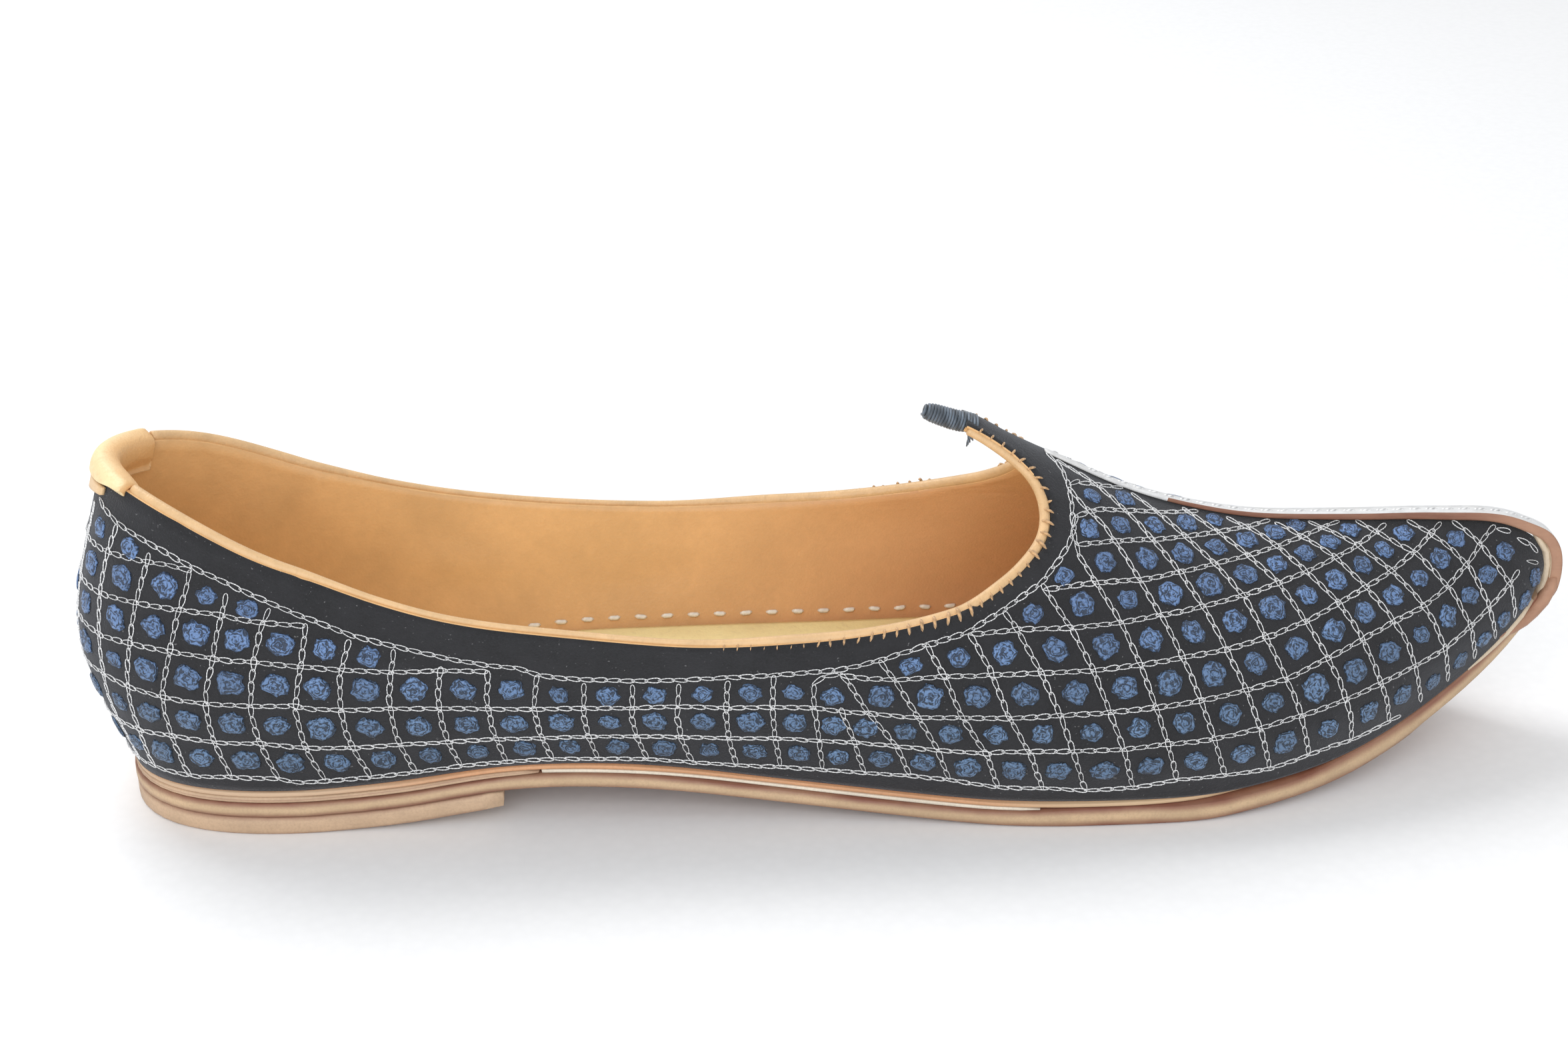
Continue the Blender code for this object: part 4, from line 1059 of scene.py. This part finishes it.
class JUTTI_OT_sole(JuttiPiece, bpy.types.Operator):
    """Finish the layers of the sole and the insole."""
    bl_idname = "jutti.sole"
    bl_label = "Sole"

    def make(self, sizes, colours):
        # Each layer's slot, colour and burnished bands, as middle, half width and weight
        layers = {
            "outsole": ("outsole", colours.outsole, ((0.0, 0.46, 1.0), (1.0, 0.46, 1.0))),
            "heel_lift": ("heel_lift", colours.lift, ((0.0, 0.2, 0.45), (1.0, 0.3, 0.7))),
            "heel_wedge": ("tan_strip", colours.lift, ((0.02, 0.22, 0.7), (0.55, 0.16, 0.45))),
            "midsole": ("tan_strip", colours.tan, ((0.05, 0.3, 0.4),)),
            "rand": ("white_rand", colours.rand, ((0.05, 0.2, 0.4),)),
        }
        for node, (slot, tint, bands) in layers.items():
            mesh = refined(node, levels=1, sharp=40.0, crease=0.8)
            mark_edge(mesh)
            ends = []
            if node == "midsole":
                ends = [(near, far, getattr(colours, name)) for near, far, name in MIDSOLE_ENDS]
                for vertex in mesh.vertices:
                    vertex.co.y *= 1.0 - MIDSOLE_TUCK * eased(from_heel(vertex.co.x), *MIDSOLE_TUCKED)
            finish = edge_finish(node + "_edge", tint, colours.burnish, bands, ends)
            show(node + "_leather", mesh, (finish,), slot, node)
        mesh = refined("insole", levels=1, sharp=40.0, crease=0.8)
        for vertex, normal in with_normals(mesh):
            if normal.z > INSOLE_TOP:
                vertex.co.z += INSOLE_LIFT * MM * along_stretch(from_heel(vertex.co.x), *INSOLE_ARCH)
        # The insole's colour is painted paler than its leather, standing in for light falling on it
        foot = leather_finish("insole_leather", colours.insole, grain=0.6, mottle=22.0, rough=0.5)
        show("insole_leather", mesh, (foot,), "insole", "insole")


class JUTTI_OT_binding(JuttiPiece, bpy.types.Operator):
    """Finish the rolled edge of the collar and sew the whip stitches round the throat."""
    bl_idname = "jutti.binding"
    bl_label = "Collar binding"

    def seat(self, point, along, bead):
        """Where a whip stitch is set beyond the rolled edge: place, direction and normal."""
        seat, normal, _, _ = skin().tree.find_nearest(point)
        edge, out, _, _ = bead.find_nearest(seat)
        middle = edge - out * BEAD_RADIUS * MM
        across = normal.cross(along).normalized()
        if (seat - middle).dot(across) < 0.0:
            along, across = -along, -across
        beyond = (middle - seat).dot(across) + WHIP_BEYOND * MM
        seat, normal, _, _ = skin().tree.find_nearest(seat + across * beyond)
        return seat, along, normal

    def make(self, sizes, colours):
        leather = leather_finish("binding_leather", colours.binding, grain=0.4, mottle=6.0)
        beads = {}
        for side, word in SIDES:
            node = "collar_binding_" + word
            mesh = refined(node, levels=2, sharp=70.0, crease=0.6)
            for vertex, normal in with_normals(mesh):
                waist = at_waist(vertex.co)
                vertex.co += (normal * (BEAD_SWELL - BEAD_THIN * waist) - UP * BEAD_DROP * waist) * MM
            show(node + "_leather", mesh, (leather,), "binding", node)
            beads[side] = tree_of(mesh)
        chance = random.Random(WHIP_SEED)
        line = [Vector(point) * MM for point in WHIP_POINTS]
        shape = rope(line, [radius * MM for radius in WHIP_RADII], sides=4, turns=0.9)
        places = []
        for side, bead in beads.items():
            spots = evenly([on_shoe(x, side * y, z) for x, y, z in THROAT_LINE], sizes.whip_pitch)
            for i, (point, along) in enumerate(spots):
                seat, along, normal = self.seat(point, along, bead)
                x = from_heel(seat.x)
                size = WHIP_SIZE + WHIP_GROWTH * eased(x, *WHIP_GROWS)
                size -= WHIP_SHRINKAGE * eased(i / len(spots), *WHIP_SHRINKS)
                size += chance.uniform(-0.08, 0.08)
                seat = seat - normal * WHIP_SINK * MM * (1.0 - eased(x, *WHIP_RISES))
                turn = swayed(chance, 0.25)
                places.append((0, set_on(seat, along, normal) @ turn @ Matrix.Scale(size, 4)))
        thread = thread_finish("tan_thread", colours.tan_thread, light=1.3, dark=0.5)
        show_sown("whip_stitches", (shape,), places, thread, "binding")


def press_pad(mesh):
    """Thins the pad inside the shoe, so that it runs out into the lining, and lifts the ends of its flap."""
    upper = tree_of(bpy.data.objects["upper_suede"].data)
    for vertex, normal in with_normals(mesh):
        inwards = Vector((HEEL_X - vertex.co.x, -vertex.co.y, 0.0)).normalized()
        height = vertex.co.z / MM
        end = eased(abs(vertex.co.y) / MM, PAD_THIN_FROM, PAD_THIN_TO)
        low = eased(height, PAD_LOW_FROM, PAD_LOW_TO)
        press = PAD_PRESS * max(0.0, normal.dot(inwards)) * max(end, low)
        seat = upper.find_nearest(vertex.co)[0]
        flap = eased((seat - vertex.co).dot(inwards) / MM, 0.0, PAD_FLAP_OUT)
        flap *= eased(height, PAD_FLAP_TOP, PAD_FLAP_LOW)
        vertex.co = vertex.co.lerp(seat, press) + UP * PAD_FLAP_LIFT * MM * end * flap


class JUTTI_OT_heel(JuttiPiece, bpy.types.Operator):
    """Finish the pad and the tab at the back of the heel."""
    bl_idname = "jutti.heel"
    bl_label = "Heel pad"

    def make(self, sizes, colours):
        mesh = refined("heel_pad", levels=2, sharp=60.0, crease=0.35)
        press_pad(mesh)
        keep_number(mesh, "inside", [vertex.normal.x * 0.5 + 0.5 for vertex in mesh.vertices])
        show("heel_pad_leather", mesh, (pad_finish(colours),), "pad", "heel_pad")
        tab = leather_finish("tab_leather", colours.tab, grain=0.4)
        mesh = refined("heel_tab", levels=1, sharp=60.0, crease=0.7)
        show("heel_tab_leather", mesh, (tab,), "binding", "heel_tab")


class JUTTI_OT_strip(JuttiPiece, bpy.types.Operator):
    """Finish the silver strip over the ridge, its ends and its stitch line."""
    bl_idname = "jutti.strip"
    bl_label = "Toe strip"

    def shaped(self):
        """The strip, sorted into silver face, cut edge and back, with its start and end pressed flat."""
        mesh = refined("toe_strip", levels=2, sharp=50.0, crease=0.9)
        upper = tree_of(bpy.data.objects["upper_suede"].data)
        for polygon in mesh.polygons:
            seat = upper.find_nearest(polygon.center)[0]
            inner = polygon.normal.dot((seat - polygon.center).normalized()) > STRIP_INWARDS
            beyond = polygon.center.x > UPPER_LOW.x + STRIP_SILVER_END * MM
            if abs(polygon.normal.y) > STRIP_SIDEWAYS and beyond:
                polygon.material_index = CUT_FACE
            else:
                polygon.material_index = BACK_FACE if inner else SILVER_FACE
        sole = tree_of(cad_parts["outsole"].data)
        for vertex in mesh.vertices:
            thin = STRIP_START_PRESS * eased(from_heel(vertex.co.x), STRIP_FULL, STRIP_START)
            vertex.co = vertex.co.lerp(upper.find_nearest(vertex.co)[0], thin)
            if vertex.co.z < STRIP_END_HIGH * MM:
                press = STRIP_END_PRESS * eased(vertex.co.z / MM, STRIP_END_HIGH, STRIP_END_LOW)
                vertex.co = vertex.co.lerp(sole.find_nearest(vertex.co)[0], press)
        return mesh

    def make(self, sizes, colours):
        mesh = self.shaped()
        edge = strip_edge_finish(colours)
        back = leather_finish("strip_back", colours.strip_back, mottle=6.0)
        show("toe_strip_leather", mesh, (strip_finish(colours), edge, back), "silver_strip", "toe_strip")
        show_cord("strip_backing", [on_shoe(x, 0.0, z) for x, z, _ in BACKING_LINE],
                  [radius for *_, radius in BACKING_LINE], back, BACKING_WIDTH)
        for side, word in SIDES:
            show_cord("strip_tuck_" + word, [skin().place(run, 0.0, side)[0] for run, _ in TUCK_LINE],
                      [radius for _, radius in TUCK_LINE], back)
            show_cord("strip_wing_" + word, [on_shoe(x, side * y, z) for x, y, z, _ in WING_LINE],
                      [radius for *_, radius in WING_LINE], edge)
        tree = tree_of(mesh)
        tops = [tree.ray_cast(on_shoe(x, 0.0, ABOVE_SHOE), -UP)[0] for x in np.arange(*STRIP_SEWN)]
        ridge = [top for top in tops if top is not None]
        places = [(0, set_on(point, along, Vector((-along.z, 0.0, along.x))))
                  for point, along in evenly(ridge, STRIP_PITCH * MM)]
        thread = thread_finish("strip_thread", colours.silver, metal=0.3, rough=0.4)
        stitch = straight_stitch(*STRIP_STITCH, sides=4, turns=0.9)
        show_sown("strip_stitches", (stitch,), places, thread, "silver_strip")


class JUTTI_OT_wrap(JuttiPiece, bpy.types.Operator):
    """Wind the navy thread round the end of the beak."""
    bl_idname = "jutti.wrap"
    bl_label = "Throat wrap"

    def winding(self, thickness):
        """Points of the thread, wound round the beak in close turns."""
        line = np.array(WRAP_LINE)
        steps = np.concatenate(((0.0,), np.cumsum(np.linalg.norm(np.diff(line[:, :2], axis=0), axis=1))))
        lean_x, lean_z = line[-1, :2] - line[0, :2]
        size = math.hypot(lean_x, lean_z)
        count = int(steps[-1] * MM / thickness) * WRAP_SEGMENTS
        points = []
        for k in range(count + 1):
            reach = steps[-1] * k / count
            x, z, wide, thick = (float(np.interp(reach, steps, line[:, j])) for j in range(4))
            angle = math.tau * k / WRAP_SEGMENTS
            rise = math.cos(angle) * thick
            points.append(on_shoe(x - rise * lean_z / size, math.sin(angle) * wide, z + rise * lean_x / size))
        return points

    def make(self, sizes, colours):
        core = refined("throat_wrap", levels=1, sharp=60.0, crease=0.3)
        for vertex, normal in with_normals(core):
            vertex.co -= normal * WRAP_SINK * MM
        # The core is a darker navy than the thread: painted shade in the gaps between the turns
        dark = leather_finish("navy_core", shade(colours.navy, 0.7), grain=0.3)
        show("throat_wrap_core", core, (dark,), "navy_thread", "throat_wrap")
        points = self.winding(sizes.wrap_thread)
        shapes = [rope(points, [sizes.wrap_thread / 2] * len(points), sides=5, turns=0.2)]
        for k, (away, drop) in enumerate(TAILS):
            tail = [on_shoe(TAIL_X + 0.3 * k + 0.25 * math.sin(j + k), away - 0.06 * j, TAIL_Z - drop * j / 4)
                    for j in range(len(TAIL_RADII))]
            shapes.append(rope(tail, [radius * MM for radius in TAIL_RADII], sides=4, turns=1.2))
        places = [(i, Matrix.Identity(4)) for i in range(len(shapes))]
        navy = thread_finish("navy_thread", colours.navy, rough=0.55, light=1.9, dark=0.4)
        show_sown("throat_winding", shapes, places, navy, "navy_thread")


class JUTTI_OT_insole_stitches(JuttiPiece, bpy.types.Operator):
    """Sew the white stitches along the foot of the lining."""
    bl_idname = "jutti.insole_stitches"
    bl_label = "Insole stitches"

    def make(self, sizes, colours):
        wall = tree_of(bpy.data.objects["upper_suede"].data, LINING_FACE)
        floor = tree_of(bpy.data.objects["insole_leather"].data)
        chance = random.Random(INSOLE_SEED)
        places = []
        for side, _ in SIDES:
            points = []
            for x in np.arange(*INSOLE_SEWN):
                base = floor.ray_cast(on_shoe(x, side * INSOLE_SIDE, INSOLE_ABOVE), -UP)[0]
                if base is None:
                    continue
                start = Vector((base.x, 0.0, base.z + INSOLE_STITCH_HEIGHT * MM))
                found = wall.ray_cast(start, Vector((0.0, side, 0.0)))[0]
                if found is not None:
                    points.append(found)
            for point, along in evenly(points, sizes.insole_pitch):
                normal = wall.find_nearest(point)[1]
                places.append((0, set_on(point, along, normal) @ swayed(chance, 0.12)))
        thread = thread_finish("white_thread", colours.white_thread, rough=0.6, light=1.15, dark=0.75)
        stitch = straight_stitch(*INSOLE_STITCH, sides=5, turns=0.6)
        show_sown("insole_stitches", (stitch,), places, thread, "insole")


class JUTTI_OT_chains(JuttiPiece, bpy.types.Operator):
    """Sew the silver chain lines on both sides of the upper."""
    bl_idname = "jutti.chains"
    bl_label = "Chain stitches"

    def link(self, sizes):
        """One loop of the chain, wider at its front, whose twist runs along it."""
        half, width, thread = sizes.link_length / 2, sizes.link_width / 2, sizes.silver_thread / 2
        loop = []
        for k in range(LINK_POINTS):
            angle = math.tau * k / LINK_POINTS
            ahead = math.cos(angle)
            loop.append(Vector((half * ahead, width * math.sin(angle) * (0.74 + 0.3 * ahead),
                                thread * (1.0 + 0.7 * ahead))))
        corners, faces, _ = rope(loop, [thread] * LINK_POINTS, sides=3, closed=True)
        twist = [corners[i][0] / MM * 1.6 + 0.35 * (corners[i][1] > 0.0) for face in faces for i in face]
        return corners, faces, twist

    def make(self, sizes, colours):
        shapes = (self.link(sizes),)
        chance = random.Random(CHAIN_SEED)
        silver = thread_finish("silver_thread", colours.silver, metal=0.25, rough=0.28, light=1.3, dark=0.62)
        groups = {"rows": (*ROWS.values(), COLLAR_LINE), "crosslines": CROSSLINES + TOE_BITS}
        for side, word in SIDES:
            for group, lines in groups.items():
                places = []
                for line in lines:
                    points = skin().follow(line, side)
                    if len(points) < 4:
                        continue
                    for point, along in evenly(points, sizes.link_pitch):
                        if is_covered(point, LINK_ROOM):
                            continue
                        seat, normal, _, _ = skin().tree.find_nearest(point)
                        turn = swayed(chance, 0.09)
                        size = Matrix.Diagonal((1.0, chance.uniform(0.82, 1.15), 1.0, 1.0))
                        places.append((0, set_on(seat, along, normal) @ turn @ size))
                show_sown(f"chain_{group}_{word}", shapes, places, silver, "suede", CHAIN_TONES + side)


class JUTTI_OT_rosettes(JuttiPiece, bpy.types.Operator):
    """Sew a coil of blue thread in each cell of the silver net."""
    bl_idname = "jutti.rosettes"
    bl_label = "Rosettes"

    def coil(self, chance):
        """A low dome of radius 1 with an uneven rim, whose twist winds round it as the coiled thread does."""
        corners = chance.choice((3, 4, 5))
        phase = chance.uniform(0.0, math.tau)
        bm = bmesh.new()
        around = bm.verts.layers.float.new("around")
        reach = bm.verts.layers.float.new("reach")
        ring = bmesh.ops.create_circle(bm, cap_ends=True, segments=COIL_POINTS, radius=1.0)["verts"]
        for k, vertex in enumerate(ring):
            vertex[around] = k / COIL_POINTS
            vertex[reach] = 1.0
            wave = math.cos(corners * math.tau * k / COIL_POINTS + phase)
            vertex.co *= 1.0 + 0.07 * wave + chance.uniform(-0.15, 0.12)
        edges = list(bm.edges)
        for share, rise in COIL_RINGS:
            ring, edges = extruded(bm, edges)
            smaller = share / ring[0][reach]
            bmesh.ops.scale(bm, vec=Vector((smaller, smaller, 1.0)), verts=ring)
            bmesh.ops.translate(bm, vec=UP * rise, verts=ring)
            for vertex in ring:
                vertex[reach] = share
        bmesh.ops.contextual_create(bm, geom=edges)

        def twist_of(face):
            flat = len(face.verts) > 4
            angles = [0.0] * len(face.verts) if flat else unrolled(face, around)
            return [COIL_TURNS * vertex[reach] - angle for vertex, angle in zip(face.verts, angles)]

        return taken_apart(bm, twist_of)

    def cells(self, side):
        """Run, height and room of each cell on one side; the left also has the heel's middle column."""
        found = []
        for i, (left, right) in enumerate(zip(CROSSLINES, CROSSLINES[1:])):
            split = SPLIT_LINE in (i, i + 1)
            found += cells_between(left, right, CELL_LOW, SPLIT_HEIGHT if split else CELL_TOP)
        beside = CROSSLINES[SPLIT_LINE - 1], CROSSLINES[SPLIT_LINE + 1]
        found += cells_between(*beside, SPLIT_HEIGHT - 1.0, SPLIT_TOP)
        return found + TOE_CELLS + WAIST_CELLS + (BACK_CELLS if side > 0 else [])

    def make(self, sizes, colours):
        chance = random.Random(ROSETTE_SEED)
        shapes = [self.coil(chance) for _ in range(COIL_SHAPES)]
        thread = coil_finish(colours)
        for side, word in SIDES:
            places = []
            for run, height, room in self.cells(side):
                spot = skin().place(run, height, side)
                if spot is None or is_covered(spot[0], ROSETTE_ROOM):
                    continue
                size = min(max(room * ROSETTE_SHARE * MM, ROSETTE_LEAST * MM), sizes.rosette)
                size *= chance.uniform(0.94, 1.08)
                seat, normal, _, _ = skin().tree.find_nearest(spot[0])
                stand = set_on(seat, UP.cross(normal).normalized(), normal)
                turn = swayed(chance, math.tau, 0.0)
                shape = Matrix.Diagonal((size, size * chance.uniform(0.78, 1.02), size, 1.0))
                slant = swayed(chance, 0.3, -0.9)
                places.append((chance.randrange(len(shapes)), stand @ slant @ shape @ turn))
            show_sown("rosettes_" + word, shapes, places, thread, "suede", ROSETTE_TONES + side)


class JUTTI_OT_stage(JuttiPiece, bpy.types.Operator):
    """Set the floor, the light and the camera."""
    bl_idname = "jutti.stage"
    bl_label = "Stage"

    def make(self, sizes, colours):
        self.lay_floor(colours)
        self.light()
        self.look()

    def lay_floor(self, colours):
        """Lays the pale floor."""
        bm = bmesh.new()
        bmesh.ops.create_grid(bm, x_segments=2, y_segments=2, size=FLOOR_HALF)
        mesh = bpy.data.meshes.new("floor")
        bm.to_mesh(mesh)
        bm.free()
        mesh.materials.append(floor_finish(colours))
        floor = bpy.data.objects.new("floor", mesh)
        bpy.context.scene.collection.objects.link(floor)

    def light(self):
        """Hangs the lamps in a soft white world."""
        scene = bpy.context.scene
        scene.view_settings.view_transform = "Standard"
        scene.world = bpy.data.worlds.new("soft_light")
        scene.world.use_nodes = True
        sky = scene.world.node_tree.nodes["Background"]
        sky.inputs["Color"].default_value = WORLD_TINT
        sky.inputs["Strength"].default_value = WORLD_STRENGTH
        for name, (place, size, power) in LAMPS.items():
            lamp = bpy.data.lights.new(name, "AREA")
            lamp.size = size
            lamp.energy = power
            light = bpy.data.objects.new(name, lamp)
            light.location = place
            light.rotation_euler = (-Vector(place)).to_track_quat("-Z", "Y").to_euler()
            scene.collection.objects.link(light)

    def look(self):
        """Sets the camera where the photograph was taken from."""
        lens = bpy.data.cameras.new("camera")
        lens.sensor_width = CAMERA_SENSOR
        lens.lens = CAMERA_SENSOR * FOCAL_PIXELS / IMAGE_WIDTH
        lens.clip_start = 0.01
        camera = bpy.data.objects.new("camera", lens)
        right = Vector((math.cos(CAMERA_YAW), -math.sin(CAMERA_YAW), 0.0))
        level = math.cos(CAMERA_PITCH)
        ahead = Vector((math.sin(CAMERA_YAW) * level, math.cos(CAMERA_YAW) * level, -math.sin(CAMERA_PITCH)))
        turn = Matrix((right, right.cross(ahead), -ahead)).transposed()
        camera.matrix_world = Matrix.Translation(CAMERA_PLACE) @ turn.to_4x4()
        bpy.context.scene.collection.objects.link(camera)
        bpy.context.scene.camera = camera


class JUTTI_PT_panel(bpy.types.Panel):
    """The jutti's pieces, sizes and colours."""
    bl_idname = "JUTTI_PT_panel"
    bl_label = "Jutti"
    bl_space_type = "VIEW_3D"
    bl_region_type = "UI"
    bl_category = "Jutti"

    def draw(self, context):
        for piece in PIECES:
            self.layout.operator(piece.bl_idname)
        for settings in (context.scene.jutti_sizes, context.scene.jutti_colours):
            box = self.layout.box()
            for name in settings.__annotations__:
                box.prop(settings, name)


PIECES = (JUTTI_OT_stage, JUTTI_OT_upper, JUTTI_OT_sole, JUTTI_OT_binding, JUTTI_OT_heel, JUTTI_OT_strip,
          JUTTI_OT_wrap, JUTTI_OT_insole_stitches, JUTTI_OT_chains, JUTTI_OT_rosettes)
CLASSES = (JuttiSizes, JuttiColours, *PIECES, JUTTI_PT_panel)


def register():
    """Adds the settings, the operators and the panel."""
    for item in CLASSES:
        bpy.utils.register_class(item)
    bpy.types.Scene.jutti_sizes = bpy.props.PointerProperty(type=JuttiSizes)
    bpy.types.Scene.jutti_colours = bpy.props.PointerProperty(type=JuttiColours)


def unregister():
    """Takes them away again."""
    del bpy.types.Scene.jutti_colours
    del bpy.types.Scene.jutti_sizes
    for item in reversed(CLASSES):
        bpy.utils.unregister_class(item)


def main():
    """Makes every piece in order."""
    register()
    for piece in PIECES:
        group, name = piece.bl_idname.split(".")
        getattr(getattr(bpy.ops, group), name)()


if __name__ == "__main__":
    main()
